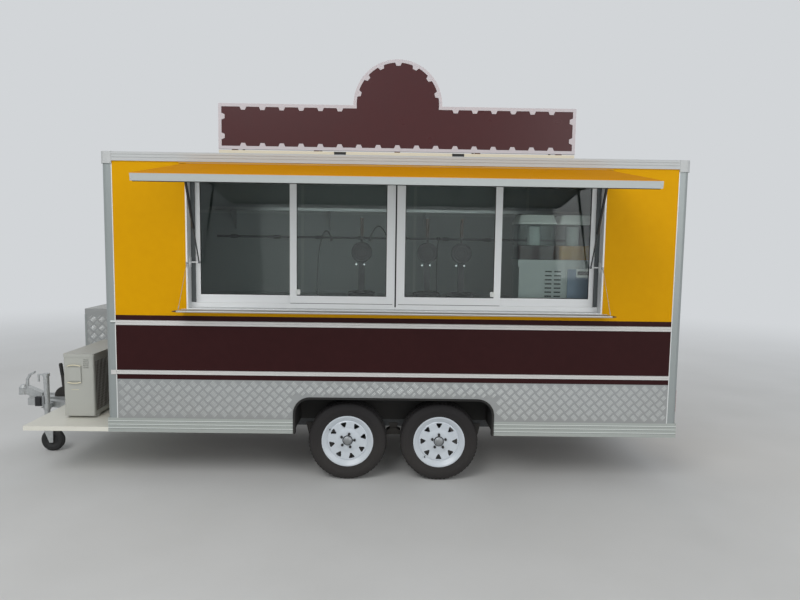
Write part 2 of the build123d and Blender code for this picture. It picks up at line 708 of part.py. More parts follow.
with BuildPart() as jockey_wheel:
    half = JOCKEY_WIDTH / 2
    hub = CHEEK_IN - HINGE_PLAY
    jockey_side = (
        (hub, JOCKEY_PIN + PIN_PLAY),
        (hub, JOCKEY_HUB),
        (half - 8, JOCKEY_HUB),
        (half - 8, JOCKEY_RADIUS - 60),
        (half, JOCKEY_RADIUS - 38),
        (half, JOCKEY_RADIUS - 16),
        (half - 14, JOCKEY_RADIUS),
    )
    with BuildSketch(crosswise(JOCKEY_AXLE_X, JOCKEY_Y, JOCKEY_RADIUS)):
        Polygon(*jockey_side, *[(-along, out) for along, out in reversed(jockey_side)], align=None)
    revolve(axis=Axis((JOCKEY_AXLE_X, JOCKEY_Y, JOCKEY_RADIUS), (0, 1, 0)))
save(jockey_wheel, "jockey_wheel")

# Floor in three sheets, round the wheel boxes
FLOOR_Y = (NEAR_Y + SILL_SKIN, FAR_Y - SILL_SKIN)
BOX_IN = BODY_WIDTH / 2 - WHEEL_BOX_DEPTH
ARCH_X = (BODY_X - ARCH_HALF, BODY_X + ARCH_HALF)
with BuildPart() as floor_panels:
    block((FRONT_X + SILL_SKIN, ARCH_X[0] - JOINT_GAP), FLOOR_Y, (FLOOR_BOTTOM, FLOOR_TOP))
    block(ARCH_X, (BODY_Y - BOX_IN, BODY_Y + BOX_IN), (FLOOR_BOTTOM, FLOOR_TOP))
    block((ARCH_X[1] + JOINT_GAP, REAR_X - SILL_SKIN), FLOOR_Y, (FLOOR_BOTTOM, FLOOR_TOP))
save(floor_panels, "floor_panels")

with BuildPart() as wheel_boxes:
    for face, sign in SIDES:
        block(ARCH_X, inward(face, sign, WALL, WHEEL_BOX_DEPTH), (FRAME_RAIL_TOP, ARCH_TOP))
        block(
            (ARCH_X[0] + WHEEL_BOX_SHEET, ARCH_X[1] - WHEEL_BOX_SHEET),
            inward(face, sign, WALL, WHEEL_BOX_DEPTH - WHEEL_BOX_SHEET),
            (FRAME_RAIL_TOP, ARCH_TOP - WHEEL_BOX_SHEET),
            mode=Mode.SUBTRACT,
        )
save(wheel_boxes, "wheel_boxes")


def arch_face(grow, low, mode=Mode.ADD):
    """Face of a wheel arch, grown or shrunk, from low up over its two rounded corners."""
    half = ARCH_HALF + grow
    top = ARCH_TOP + grow
    turn = ARCH_ROUND + grow
    with BuildLine() as edge:
        Polyline((-half, top - turn), (-half, low), (half, low), (half, top - turn))
        CenterArc((half - turn, top - turn), turn, 0, 90)
        Line((half - turn, top), (turn - half, top))
        CenterArc((turn - half, top - turn), turn, 90, 90)
    make_face(edge.edges(), mode=mode)


# Sandwich walls between the corner posts
POST_IN = (FRONT_X + POST_FACE, REAR_X - POST_FACE)
CROSS_IN = (NEAR_Y + POST_FACE, FAR_Y - POST_FACE)
OPENING_X = (BODY_X - OPENING_HALF, BODY_X + OPENING_HALF)
OPENING_TOP = HINGE_HEIGHT - JOINT_GAP
DOOR_SIDES = (DOOR_LEFT, DOOR_RIGHT)
for name, face, sign in (("serving_wall", NEAR_Y, 1), ("far_wall", FAR_Y, -1)):
    with BuildPart() as wall:
        block(POST_IN, inward(face, sign, 0, WALL), (FLOOR_TOP, WALL_TOP))
        with BuildSketch(upright(face, BODY_X)):
            arch_face(0, BODY_BOTTOM)
        extrude(amount=-sign * WALL, mode=Mode.SUBTRACT)
        if name == "serving_wall":
            block(
                (OPENING_X[0] - LINER, OPENING_X[1] + LINER),
                inward(face, sign, 0, WALL),
                (OPENING_LOW - LINER, OPENING_TOP + LINER),
                mode=Mode.SUBTRACT,
            )
    save(wall, name)

with BuildPart() as front_wall:
    block((FRONT_X, FRONT_X + WALL), CROSS_IN, (FLOOR_TOP, WALL_TOP))
save(front_wall, "front_wall")

with BuildPart() as rear_wall:
    block((REAR_X - WALL, REAR_X), CROSS_IN, (FLOOR_TOP, WALL_TOP))
    block((REAR_X - WALL, REAR_X), DOOR_SIDES, (DOOR_LOW, DOOR_HIGH), mode=Mode.SUBTRACT)
save(rear_wall, "rear_wall")

with BuildPart() as roof_panel:
    block(POST_IN, CROSS_IN, (ROOF_LOW, BODY_TOP - 4))
save(roof_panel, "roof_panel")

# Corner posts with a rounded outer edge, and moulded caps over them
POST_TOP = WALL_TOP - CAP_DROP
CORNERS = tuple((x, y, sx, sy) for x, sx in ((FRONT_X, 1), (REAR_X, -1)) for y, sy in SIDES)


def corner_outline(x, y, sx, sy, proud):
    """Face of the plan of a corner post or cap, rounded at its outer corner."""
    start = (x - sx * proud, y - sy * proud)
    size = POST_FACE + proud
    turn = POST_ROUND + proud
    cut = turn * (1 - cos(radians(45)))
    with BuildLine() as edge:
        Polyline(
            (start[0], start[1] + sy * turn),
            (start[0], start[1] + sy * size),
            (start[0] + sx * size, start[1] + sy * size),
            (start[0] + sx * size, start[1]),
            (start[0] + sx * turn, start[1]),
        )
        ThreePointArc(
            (start[0] + sx * turn, start[1]),
            (start[0] + sx * cut, start[1] + sy * cut),
            (start[0], start[1] + sy * turn),
        )
    make_face(edge.edges())


with BuildPart() as corner_posts:
    with BuildSketch(Plane.XY.offset(FLOOR_TOP)):
        for corner in CORNERS:
            corner_outline(*corner, 0)
    extrude(amount=POST_TOP - FLOOR_TOP)
save(corner_posts, "corner_posts")

# Mouldings that run along all four sides, each a section drawn outwards and up
ENDS = ((FRONT_X, 1), (REAR_X, -1))
DOOR_GAPS = (DOOR_LEFT - DOOR_FLANGE - JOINT_GAP, DOOR_RIGHT + DOOR_FLANGE + JOINT_GAP)
SIDE_RUNS = tuple((face, sign, (POST_IN,)) for face, sign in SIDES)
END_RUNS = (
    (FRONT_X, 1, (CROSS_IN,)),
    (REAR_X, -1, ((CROSS_IN[0], DOOR_GAPS[0]), (DOOR_GAPS[1], CROSS_IN[1]))),
)


def moulding(section, low, door_gap=True):
    """Run a section of (out, up) points along every side between the posts."""
    for face, sign, spans in SIDE_RUNS:
        for start, end in spans:
            with BuildSketch(crosswise(start + JOINT_GAP)) as across:
                Polygon(*[(face - sign * out, low + up) for out, up in section], align=None)
            extrude(to_extrude=across.sketch, amount=end - start - 2 * JOINT_GAP, dir=(1, 0, 0))
    for face, sign, spans in END_RUNS:
        for start, end in spans if door_gap else (CROSS_IN,):
            with BuildSketch(upright(start + JOINT_GAP)) as along:
                Polygon(*[(face - sign * out, low + up) for out, up in section], align=None)
            extrude(to_extrude=along.sketch, amount=end - start - 2 * JOINT_GAP, dir=(0, 1, 0))


def strip(thick, height):
    """Section of a flat strip on the outside of a wall."""
    return ((0, 0), (thick, 0), (thick, height), (0, height))


GROOVE = 3
RAIL_SECTION = (
    (RAIL_PROUD, 0),
    (RAIL_PROUD, 22),
    (RAIL_PROUD - GROOVE, 25),
    (RAIL_PROUD, 28),
    (RAIL_PROUD, 44),
    (RAIL_PROUD - GROOVE, 47),
    (RAIL_PROUD, 50),
    (RAIL_PROUD, 62),
    (RAIL_PROUD - 8, RAIL_HEIGHT),
    (-POST_FACE, RAIL_HEIGHT),
    (-POST_FACE, 0),
)
with BuildPart() as roof_rails:
    moulding(RAIL_SECTION, WALL_TOP, door_gap=False)
    with BuildSketch(Plane.XY.offset(POST_TOP)):
        for corner in CORNERS:
            corner_outline(*corner, RAIL_PROUD)
    extrude(amount=BODY_TOP - POST_TOP)
save(roof_rails, "roof_rails")

with BuildPart() as belt_rails:
    for low, high in BELTS:
        middle = (high - low) / 2
        moulding(
            (
                (0, 0),
                (BELT_PROUD, 3),
                (BELT_PROUD, middle - GROOVE),
                (BELT_PROUD - GROOVE, middle),
                (BELT_PROUD, middle + GROOVE),
                (BELT_PROUD, high - low - 3),
                (0, high - low),
            ),
            low,
        )
    block(
        (FRONT_X + POST_ROUND, POST_IN[0]),
        (NEAR_Y - BELT_PROUD, NEAR_Y),
        BELTS[1],
    )
save(belt_rails, "belt_rails")

BAND_STEPS = ((BAND_LOW, BELTS[1][0]), (BELTS[1][1], BELTS[0][0]), (BELTS[0][1], BAND_HIGH))
with BuildPart() as brown_band:
    for low, high in BAND_STEPS:
        moulding(strip(BAND_SKIN, high - low), low)
save(brown_band, "brown_band")

with BuildPart() as tread_skirts:
    moulding(strip(TREAD_SKIN, TREAD_TOP - FLOOR_TOP), FLOOR_TOP)
    with BuildSketch(upright(FAR_Y + TREAD_SKIN, BODY_X)):
        arch_face(0, BODY_BOTTOM)
    extrude(amount=BODY_WIDTH + 2 * TREAD_SKIN, mode=Mode.SUBTRACT)
save(tread_skirts, "tread_skirts")

# Ribbed sills that close the edge of the floor
SILL_RIB = 3
SILL_GROOVES = (28, 56, 84)
with BuildPart() as sill_rails:
    for face, sign in SIDES:
        block((FRONT_X, REAR_X), inward(face, sign, 0, SILL_SKIN), (BODY_BOTTOM, FLOOR_TOP))
    for face, sign in ENDS:
        block(
            inward(face, sign, 0, SILL_SKIN),
            (NEAR_Y + SILL_SKIN, FAR_Y - SILL_SKIN),
            (FRAME_RAIL_TOP, FLOOR_TOP),
        )
    block(
        (ARCH_X[0], ARCH_X[1]),
        (NEAR_Y, FAR_Y),
        (BODY_BOTTOM, FLOOR_TOP),
        mode=Mode.SUBTRACT,
    )
    for face, sign in SIDES:
        for up in SILL_GROOVES:
            block(
                (FRONT_X, REAR_X),
                inward(face, sign, 0, SILL_RIB),
                (BODY_BOTTOM + up, BODY_BOTTOM + up + SILL_RIB),
                mode=Mode.SUBTRACT,
            )
save(sill_rails, "sill_rails")

with BuildPart() as arch_trims:
    for face, sign in SIDES:
        outer = face - sign * (TREAD_SKIN + ARCH_FLANGE)
        for grow, depth in ((0, TREAD_SKIN + ARCH_FLANGE + WALL), (ARCH_LIP, ARCH_FLANGE)):
            with BuildSketch(upright(outer, BODY_X)):
                arch_face(grow, BODY_BOTTOM)
                arch_face(-ARCH_LINING, BODY_BOTTOM - JOINT_GAP, mode=Mode.SUBTRACT)
            extrude(amount=-sign * depth)
save(arch_trims, "arch_trims")

# Serving opening: a deep liner with a flange, the hatch's hinge rail and the shelf's hinge strip
SHELF_AXIS = (NEAR_Y - SHELF_HINGE_OUT, SHELF_TOP - SHELF_BEAD)
JAMB_PIN = (NEAR_Y + JAMB_PIN_IN, JAMB_PIN_HEIGHT)
STRUT_U = OPENING_HALF - STRUT_FROM_JAMB
STUD_START = STRUT_U + STRUT_EYE_THICK / 2 + HINGE_PLAY
BRACKET_SHEET = 6
HATCH_HOOK = (295, 230)
SHELF_HOOK = (205, 205)


def hook(centre, bead, angles):
    """Face of a hinge channel that wraps a round bead, over (start, size) in degrees."""
    with BuildLine() as edge:
        inner = CenterArc(centre, bead + HINGE_PLAY, *angles)
        outer = CenterArc(centre, bead + HINGE_SHELL, *angles)
        Line(inner @ 0, outer @ 0)
        Line(inner @ 1, outer @ 1)
    make_face(edge.edges())


with BuildPart() as opening_frame:
    block(
        (OPENING_X[0] - LINER, OPENING_X[1] + LINER),
        (NEAR_Y - FLANGE_PROUD, NEAR_Y + LINER_DEPTH),
        (OPENING_LOW - LINER, OPENING_TOP + LINER),
    )
    block(
        (OPENING_X[0] - LINER_FLANGE, OPENING_X[1] + LINER_FLANGE),
        (NEAR_Y - FLANGE_PROUD, NEAR_Y),
        (OPENING_LOW - LINER_FLANGE, OPENING_TOP + LINER),
    )
    block(
        OPENING_X,
        (NEAR_Y - FLANGE_PROUD, NEAR_Y + LINER_DEPTH),
        (OPENING_LOW, OPENING_TOP),
        mode=Mode.SUBTRACT,
    )
    with BuildSketch(crosswise(BODY_X - HINGE_HALF)):
        hook((HINGE_Y, HINGE_HEIGHT), HINGE_BEAD, HATCH_HOOK)
        Polygon(
            (HINGE_Y + HINGE_BEAD + HINGE_PLAY, OPENING_TOP),
            (NEAR_Y, OPENING_TOP),
            (NEAR_Y, WALL_TOP - JOINT_GAP),
            (HINGE_Y + HINGE_BEAD + HINGE_PLAY, WALL_TOP - JOINT_GAP),
            align=None,
        )
    extrude(amount=2 * HINGE_HALF)
    with BuildSketch(crosswise(BODY_X - SHELF_HALF)):
        hook(SHELF_AXIS, SHELF_BEAD, SHELF_HOOK)
        Polygon(
            (SHELF_AXIS[0] + SHELF_BEAD + HINGE_PLAY, SHELF_TOP - 16),
            (NEAR_Y, SHELF_TOP - 16),
            (NEAR_Y, SHELF_TOP),
            (SHELF_AXIS[0] + SHELF_BEAD + HINGE_SHELL, SHELF_TOP),
            align=None,
        )
    extrude(amount=2 * SHELF_HALF)
    for way in (-1, 1):
        jamb = BODY_X + way * OPENING_HALF
        block(
            sorted((jamb, jamb - way * BRACKET_SHEET)),
            (JAMB_PIN[0] - 15, JAMB_PIN[0] + 15),
            (JAMB_PIN[1] - 40, JAMB_PIN[1] + 40),
        )
        with BuildSketch(crosswise(BODY_X + way * STUD_START, *JAMB_PIN)):
            Circle(STRUT_STUD)
        extrude(amount=way * (OPENING_HALF - STUD_START))
save(opening_frame, "opening_frame")

# Two sliding window units behind the hatch, each with two sashes
UNITS = ((-OPENING_HALF, -WINDOW_GAP / 2), (WINDOW_GAP / 2, OPENING_HALF))
WINDOW_Y = NEAR_Y + WINDOW_SET_BACK
SASH_LOW = OPENING_LOW + WINDOW_SILL
SASH_HIGH = OPENING_TOP - WINDOW_SILL
with BuildPart() as window_frames:
    for low, high in UNITS:
        depth = (WINDOW_Y, WINDOW_Y + WINDOW_DEPTH)
        block((BODY_X + low, BODY_X + high), depth, (OPENING_LOW, OPENING_TOP))
        block(
            (BODY_X + low + WINDOW_LIP, BODY_X + high - WINDOW_LIP),
            depth,
            (SASH_LOW, SASH_HIGH),
            mode=Mode.SUBTRACT,
        )
save(window_frames, "window_frames")

TRACKS = (2, 6 + SASH_THICK)
SASH_WIDTH = (OPENING_HALF - WINDOW_GAP / 2 - 2 * WINDOW_LIP + SASH_STILE) / 2
SASHES = (
    (-OPENING_HALF + WINDOW_LIP, TRACKS[1]),
    (-WINDOW_GAP / 2 - WINDOW_LIP - SASH_WIDTH, TRACKS[0]),
    (WINDOW_GAP / 2 + WINDOW_LIP, TRACKS[0]),
    (OPENING_HALF - WINDOW_LIP - SASH_WIDTH, TRACKS[1]),
)
with BuildPart() as window_sashes:
    for start, track in SASHES:
        depth = (WINDOW_Y + track, WINDOW_Y + track + SASH_THICK)
        block((BODY_X + start, BODY_X + start + SASH_WIDTH), depth, (SASH_LOW, SASH_HIGH))
        block(
            (BODY_X + start + SASH_STILE, BODY_X + start + SASH_WIDTH - SASH_STILE),
            depth,
            (SASH_LOW + SASH_RAIL, SASH_HIGH - SASH_RAIL),
            mode=Mode.SUBTRACT,
        )
save(window_sashes, "window_sashes")

with BuildPart() as window_glass:
    for start, track in SASHES:
        middle = WINDOW_Y + track + SASH_THICK / 2
        block(
            (BODY_X + start + SASH_STILE, BODY_X + start + SASH_WIDTH - SASH_STILE),
            (middle - GLASS / 2, middle + GLASS / 2),
            (SASH_LOW + SASH_RAIL, SASH_HIGH - SASH_RAIL),
        )
save(window_glass, "window_glass")

# Hatch, raised: local x along the trailer, local y up its face to the hinge, local z outwards
OPEN_ANGLE = radians(HATCH_OPEN)
HATCH_AXIS = (BODY_X, HINGE_Y, HINGE_HEIGHT)
hatch = Plane(origin=HATCH_AXIS, x_dir=(1, 0, 0), z_dir=(0, -cos(OPEN_ANGLE), sin(OPEN_ANGLE)))
HATCH_INNER = HATCH_THICK - HATCH_PROUD
SKIN_BACK = HATCH_SKIN - HATCH_PROUD
SKIN_START = HATCH_START + 6
STIFFENERS = (-HATCH_HALF / 3, HATCH_HALF / 3)


def hatch_place(down, behind):
    """Point of the raised hatch, measured down its face and behind the hinge line."""
    return hatch.from_local_coords((0, -down, -behind))


def hatch_panel(start, end, edge=0, mode=Mode.ADD):
    """Rectangle over the hatch between two distances from the hinge line, held in from its sides."""
    with Locations((0, -(start + end) / 2)):
        Rectangle(2 * (HATCH_HALF - edge), end - start, mode=mode)


def hatch_section(u):
    """Plane across the raised hatch, with local x up its face and local y behind it."""
    return Plane(origin=(BODY_X + u, HINGE_Y, HINGE_HEIGHT), x_dir=hatch.y_dir, z_dir=(-1, 0, 0))


STRUT_TOP = hatch_place(STRUT_PIN_DOWN, STRUT_PIN_BEHIND)
LUG_HALF = 7
with BuildPart() as hatch_frame:
    with BuildSketch(hatch.offset(-HATCH_INNER)):
        hatch_panel(HATCH_START, HATCH_FREE_EDGE)
        hatch_panel(HATCH_START + HATCH_BAR, HATCH_FREE_EDGE - HATCH_BAR, HATCH_BAR, Mode.SUBTRACT)
        for u in STIFFENERS:
            with Locations((u, -(HATCH_START + HATCH_FREE_EDGE) / 2)):
                Rectangle(HATCH_BAR, HATCH_FREE_EDGE - HATCH_START - HATCH_BAR)
    extrude(amount=HATCH_INNER - SKIN_BACK)
    with BuildSketch(hatch_section(HATCH_HALF)):
        Circle(HINGE_BEAD)
        Polygon(
            (0, HINGE_NECK),
            (0, -HATCH_PROUD),
            (-SKIN_START, -HATCH_PROUD),
            (-SKIN_START, SKIN_BACK),
            (-HATCH_START, SKIN_BACK),
            (-HATCH_START, HINGE_NECK),
            align=None,
        )
    extrude(amount=2 * HATCH_HALF)
    for way in (-1, 1):
        with BuildSketch(hatch_section(way * STUD_START)):
            Polygon(
                (-STRUT_PIN_DOWN - LUG_HALF, HATCH_INNER),
                (-STRUT_PIN_DOWN + LUG_HALF, HATCH_INNER),
                (-STRUT_PIN_DOWN + LUG_HALF, STRUT_PIN_BEHIND + LUG_HALF),
                (-STRUT_PIN_DOWN - LUG_HALF, STRUT_PIN_BEHIND + LUG_HALF),
                align=None,
            )
        extrude(amount=-way * (HATCH_HALF - STUD_START))
        with BuildSketch(crosswise(BODY_X + way * STUD_START, STRUT_TOP.Y, STRUT_TOP.Z)):
            Circle(STRUT_PIN)
        extrude(amount=-way * (STRUT_EYE_THICK + HINGE_PLAY))
save(hatch_frame, "hatch_frame")

with BuildPart() as hatch_skin:
    with BuildSketch(hatch.offset(-SKIN_BACK)):
        hatch_panel(SKIN_START, HATCH_FREE_EDGE)
    extrude(amount=HATCH_SKIN)
save(hatch_skin, "hatch_skin")

# Gas struts: each a cylinder pinned to the hatch and a rod that slides out of it to the jamb
STRUT_RUN = Vector(0, JAMB_PIN[0] - STRUT_TOP.Y, JAMB_PIN[1] - STRUT_TOP.Z)
STRUT_LONG = STRUT_RUN.length
NECK_END = 16
for side, way in (("left", -1), ("right", 1)):
    top = Vector(BODY_X + way * STRUT_U, STRUT_TOP.Y, STRUT_TOP.Z)
    run = Plane(origin=top, x_dir=(1, 0, 0), z_dir=STRUT_RUN)
    with BuildPart() as cylinder:
        with BuildSketch(crosswise(top.X, top.Y, top.Z)):
            Circle(STRUT_EYE)
        extrude(amount=STRUT_EYE_THICK / 2, both=True)
        with BuildSketch(run.offset(STRUT_EYE - 3)):
            Rectangle(STRUT_EYE_THICK, 12)
        extrude(amount=NECK_END - STRUT_EYE + 3)
        with BuildSketch(run.offset(NECK_END - 2)):
            Circle(STRUT_CYLINDER_RADIUS)
        extrude(amount=STRUT_CYLINDER_LENGTH - NECK_END + 2)
        with BuildSketch(run.offset(STRUT_BORE_FROM)):
            Circle(STRUT_ROD_RADIUS + HINGE_PLAY)
        extrude(amount=STRUT_CYLINDER_LENGTH - STRUT_BORE_FROM, mode=Mode.SUBTRACT)
        with BuildSketch(crosswise(top.X, top.Y, top.Z)):
            Circle(STRUT_PIN + PIN_PLAY)
        extrude(amount=STRUT_EYE_THICK, both=True, mode=Mode.SUBTRACT)
    save(cylinder, f"strut_cylinder_{side}")

    with BuildPart() as rod:
        with BuildSketch(run.offset(STRUT_LONG - STRUT_ROD_LENGTH)):
            Circle(STRUT_ROD_RADIUS)
        extrude(amount=STRUT_ROD_LENGTH - STRUT_EYE + 2)
        with BuildSketch(crosswise(top.X, *JAMB_PIN)):
            Circle(STRUT_EYE)
            Circle(STRUT_STUD + PIN_PLAY, mode=Mode.SUBTRACT)
        extrude(amount=STRUT_EYE_THICK / 2, both=True)
    save(rod, f"strut_rod_{side}")

# Service shelf, level, on a bead in its hinge strip
SHELF_START = SHELF_BEAD + HINGE_SHELL + 3
with BuildPart() as service_shelf:
    with BuildSketch(crosswise(BODY_X - SHELF_HALF, *SHELF_AXIS)):
        Circle(SHELF_BEAD)
        Polygon(
            (0, -JOINT_GAP),
            (-SHELF_START, -JOINT_GAP),
            (-SHELF_START, SHELF_BEAD - SHELF_THICK),
            (SHELF_HINGE_OUT - SHELF_DEPTH, SHELF_BEAD - SHELF_THICK),
            (SHELF_HINGE_OUT - SHELF_DEPTH, SHELF_BEAD),
            (-SHELF_START, SHELF_BEAD),
            (-SHELF_START, 2),
            (0, 2),
            align=None,
        )
    extrude(amount=2 * SHELF_HALF)
save(service_shelf, "service_shelf")

# Entry door in the rear wall: a lined frame, and a flush leaf on three lift-off hinges
DOOR_AXIS = (REAR_X + DOOR_HINGE_OUT, DOOR_RIGHT - DOOR_CLEAR / 2)
DOOR_HINGES = (DOOR_LOW + 200, DOOR_LOW + DOOR_HEIGHT / 2, DOOR_HIGH - 200)
HINGE_LEAF = 36

with BuildPart() as door_frame:
    lining_x = (REAR_X - WALL, REAR_X + DOOR_LINING)
    block(lining_x, DOOR_SIDES, (DOOR_LOW, DOOR_HIGH))
    block(
        lining_x,
        (DOOR_LEFT + DOOR_LINING, DOOR_RIGHT - DOOR_LINING),
        (DOOR_LOW + DOOR_LINING, DOOR_HIGH - DOOR_LINING),
        mode=Mode.SUBTRACT,
    )
    with BuildSketch(crosswise(REAR_X)):
        width = DOOR_WIDTH + 2 * DOOR_FLANGE
        with Locations((DOOR_LEFT + DOOR_WIDTH / 2, DOOR_LOW)):
            Rectangle(width, DOOR_HEIGHT + DOOR_FLANGE, align=(Align.CENTER, Align.MIN))
            Rectangle(
                DOOR_WIDTH - 2 * DOOR_LINING,
                DOOR_HEIGHT - DOOR_LINING,
                align=(Align.CENTER, Align.MIN),
                mode=Mode.SUBTRACT,
            )
    extrude(amount=DOOR_LINING)
    for z in DOOR_HINGES:
        block(
            (REAR_X + DOOR_LINING, DOOR_AXIS[0]),
            (DOOR_AXIS[1], DOOR_AXIS[1] + HINGE_LEAF),
            (z - KNUCKLE_LENGTH, z),
        )
        for radius, high in ((KNUCKLE_RADIUS, z), (KNUCKLE_PIN, z + KNUCKLE_LENGTH - 5)):
            with BuildSketch(Plane.XY.offset(z - KNUCKLE_LENGTH)):
                with Locations(DOOR_AXIS):
                    Circle(radius)
            extrude(amount=high - z + KNUCKLE_LENGTH)
save(door_frame, "door_frame")

with BuildPart() as door_leaf:
    block(
        (REAR_X - DOOR_THICK, REAR_X),
        (DOOR_LEFT + DOOR_CLEAR, DOOR_RIGHT - DOOR_CLEAR),
        (DOOR_LOW + DOOR_CLEAR, DOOR_HIGH - DOOR_CLEAR),
    )
    for z in DOOR_HINGES:
        low = z + HINGE_PLAY
        block(
            (REAR_X, DOOR_AXIS[0]),
            (DOOR_AXIS[1] - HINGE_LEAF, DOOR_AXIS[1]),
            (low, low + KNUCKLE_LENGTH),
        )
        with BuildSketch(Plane.XY.offset(low)):
            with Locations(DOOR_AXIS):
                Circle(KNUCKLE_RADIUS)
        extrude(amount=KNUCKLE_LENGTH)
        with BuildSketch(Plane.XY.offset(low)):
            with Locations(DOOR_AXIS):
                Circle(KNUCKLE_PIN + PIN_PLAY)
        extrude(amount=KNUCKLE_LENGTH - 3, mode=Mode.SUBTRACT)
    handle_y = DOOR_LEFT + DOOR_CLEAR + 60
    for z in (DOOR_LOW + 820, DOOR_LOW + 960):
        block((REAR_X, REAR_X + REAR_PROUD - 4), (handle_y - 8, handle_y + 8), (z - 8, z + 8))
    block(
        (REAR_X + REAR_PROUD - 14, REAR_X + REAR_PROUD - 4),
        (handle_y - 8, handle_y + 8),
        (DOOR_LOW + 812, DOOR_LOW + 968),
    )
save(door_leaf, "door_leaf")

# Galley: a counter under the windows, a bench along the far wall and a shelf above it
TOP_SHEET = 40
PANEL = 18
PANEL_SET_BACK = 40
GALLEY_END = 310
GALLEY_HALF = BODY_LENGTH / 2 - WALL - GALLEY_END
GALLEY_X = (BODY_X - GALLEY_HALF, BODY_X + GALLEY_HALF)
PANEL_PLACES = (-GALLEY_HALF, -ARCH_HALF - 60, ARCH_HALF + 60 - PANEL, GALLEY_HALF - PANEL)
WORKTOPS = ((NEAR_Y + WALL, 1, COUNTER_DEPTH, COUNTER_TOP), (FAR_Y - WALL, -1, BENCH_DEPTH, BENCH_TOP))
with BuildPart() as worktops:
    for face, sign, depth, top in WORKTOPS:
        block(GALLEY_X, inward(face, sign, 0, depth), (top - TOP_SHEET, top))
        for u in PANEL_PLACES:
            across = inward(face, sign, 0, depth - PANEL_SET_BACK)
            block((BODY_X + u, BODY_X + u + PANEL), across, (FLOOR_TOP, top - TOP_SHEET))
    block(
        GALLEY_X,
        (FAR_Y - WALL - OVERHEAD_DEPTH, FAR_Y - WALL),
        (OVERHEAD_HEIGHT - PANEL, OVERHEAD_HEIGHT),
    )
save(worktops, "worktops")

# Waffle irons: a steel stand, and a round pair of hinged plates turned upright, with its handles up
IRON_PLACES = (-283, 264, 549)
IRON_Y = NEAR_Y + 400
IRON_RADIUS = 84
IRON_PLATE = 17
IRON_PLATES = (1, IRON_PLATE + 3)
IRON_HEIGHT = 1835
STAND_HALF = 110
STAND_DEPTH = 210
STAND_HEIGHT = 150
STAND_FRONT = 45
COLLAR_WALL = 12
YOKE_HALF = 26
HANDLE_HALF = 9
HANDLE_TOP = 2110
HANDLE_LAP = 10
with BuildPart() as waffle_irons:
    for u in IRON_PLACES:
        middle = BODY_X + u
        with BuildSketch(crosswise(middle - STAND_HALF, IRON_Y, COUNTER_TOP)):
            Polygon(
                (-STAND_DEPTH / 2, 0),
                (STAND_DEPTH / 2, 0),
                (STAND_DEPTH / 2, STAND_HEIGHT),
                (STAND_FRONT - STAND_DEPTH / 2, STAND_HEIGHT),
                (-STAND_DEPTH / 2, STAND_HEIGHT / 2),
                align=None,
            )
        extrude(amount=2 * STAND_HALF)
        with BuildSketch(Plane.XY.offset(COUNTER_TOP + STAND_HEIGHT)):
            with Locations((middle, IRON_Y)):
                Circle(IRON_RADIUS)
        extrude(amount=COLLAR_WALL)
        block(
            (middle - YOKE_HALF, middle + YOKE_HALF),
            (IRON_Y - COLLAR_WALL, IRON_Y + COLLAR_WALL),
            (COUNTER_TOP + STAND_HEIGHT, IRON_HEIGHT),
        )
        for sign in (-1, 1):
            near, far = (sign * start for start in (0, IRON_PLATES[1]))
            with BuildSketch(upright(IRON_Y + sign * IRON_PLATES[0], middle, IRON_HEIGHT)):
                Circle(IRON_RADIUS)
            extrude(amount=-sign * IRON_PLATE)
            block(
                (middle - HANDLE_HALF, middle + HANDLE_HALF),
                sorted((IRON_Y + near, IRON_Y + far)),
                (IRON_HEIGHT + IRON_RADIUS - HANDLE_LAP, HANDLE_TOP),
            )
save(waffle_irons, "waffle_irons")

# Drinks dispenser: a base with a louvred front and a drip tray, and two lidded tanks over it
DISPENSER_X = BODY_X + 1010
DISPENSER_Y = (NEAR_Y + 260, NEAR_Y + 540)
DISPENSER_WIDTH = 620
DISPENSER_LIP = 12
TANK_LOW = 1795
TANK_HIGH = 2085
TANK_SIZES = ((-10, 327), (330, 290))
TANK_ROUND = 30
TANK_LID = 80
LID_LIP = 6
HEADER = 60
LOUVRE_WIDTH = 230
LOUVRE_SLOT = 8
LOUVRE_COUNT = 9
LOUVRE_LOW = 80
TRAY_REACH = 90
TRAY_HEIGHT = 30
with BuildPart() as dispenser_base:
    block((DISPENSER_X, DISPENSER_X + DISPENSER_WIDTH), DISPENSER_Y, (COUNTER_TOP, TANK_LOW))
    block(
        (DISPENSER_X - DISPENSER_LIP, DISPENSER_X + DISPENSER_WIDTH + DISPENSER_LIP),
        (DISPENSER_Y[0] - DISPENSER_LIP, DISPENSER_Y[1]),
        (TANK_LOW - HEADER, TANK_LOW),
    )
    block(
        (DISPENSER_X + DISPENSER_LIP, DISPENSER_X + DISPENSER_WIDTH - DISPENSER_LIP),
        (DISPENSER_Y[0] - TRAY_REACH, DISPENSER_Y[0]),
        (COUNTER_TOP, COUNTER_TOP + TRAY_HEIGHT),
    )
    for step in range(LOUVRE_COUNT):
        low = COUNTER_TOP + LOUVRE_LOW + 3 * LOUVRE_SLOT * step
        middle = DISPENSER_X + DISPENSER_WIDTH / 2
        block(
            (middle - LOUVRE_WIDTH / 2, middle + LOUVRE_WIDTH / 2),
            (DISPENSER_Y[0], DISPENSER_Y[0] + LOUVRE_SLOT),
            (low, low + LOUVRE_SLOT),
            mode=Mode.SUBTRACT,
        )
save(dispenser_base, "dispenser_base")

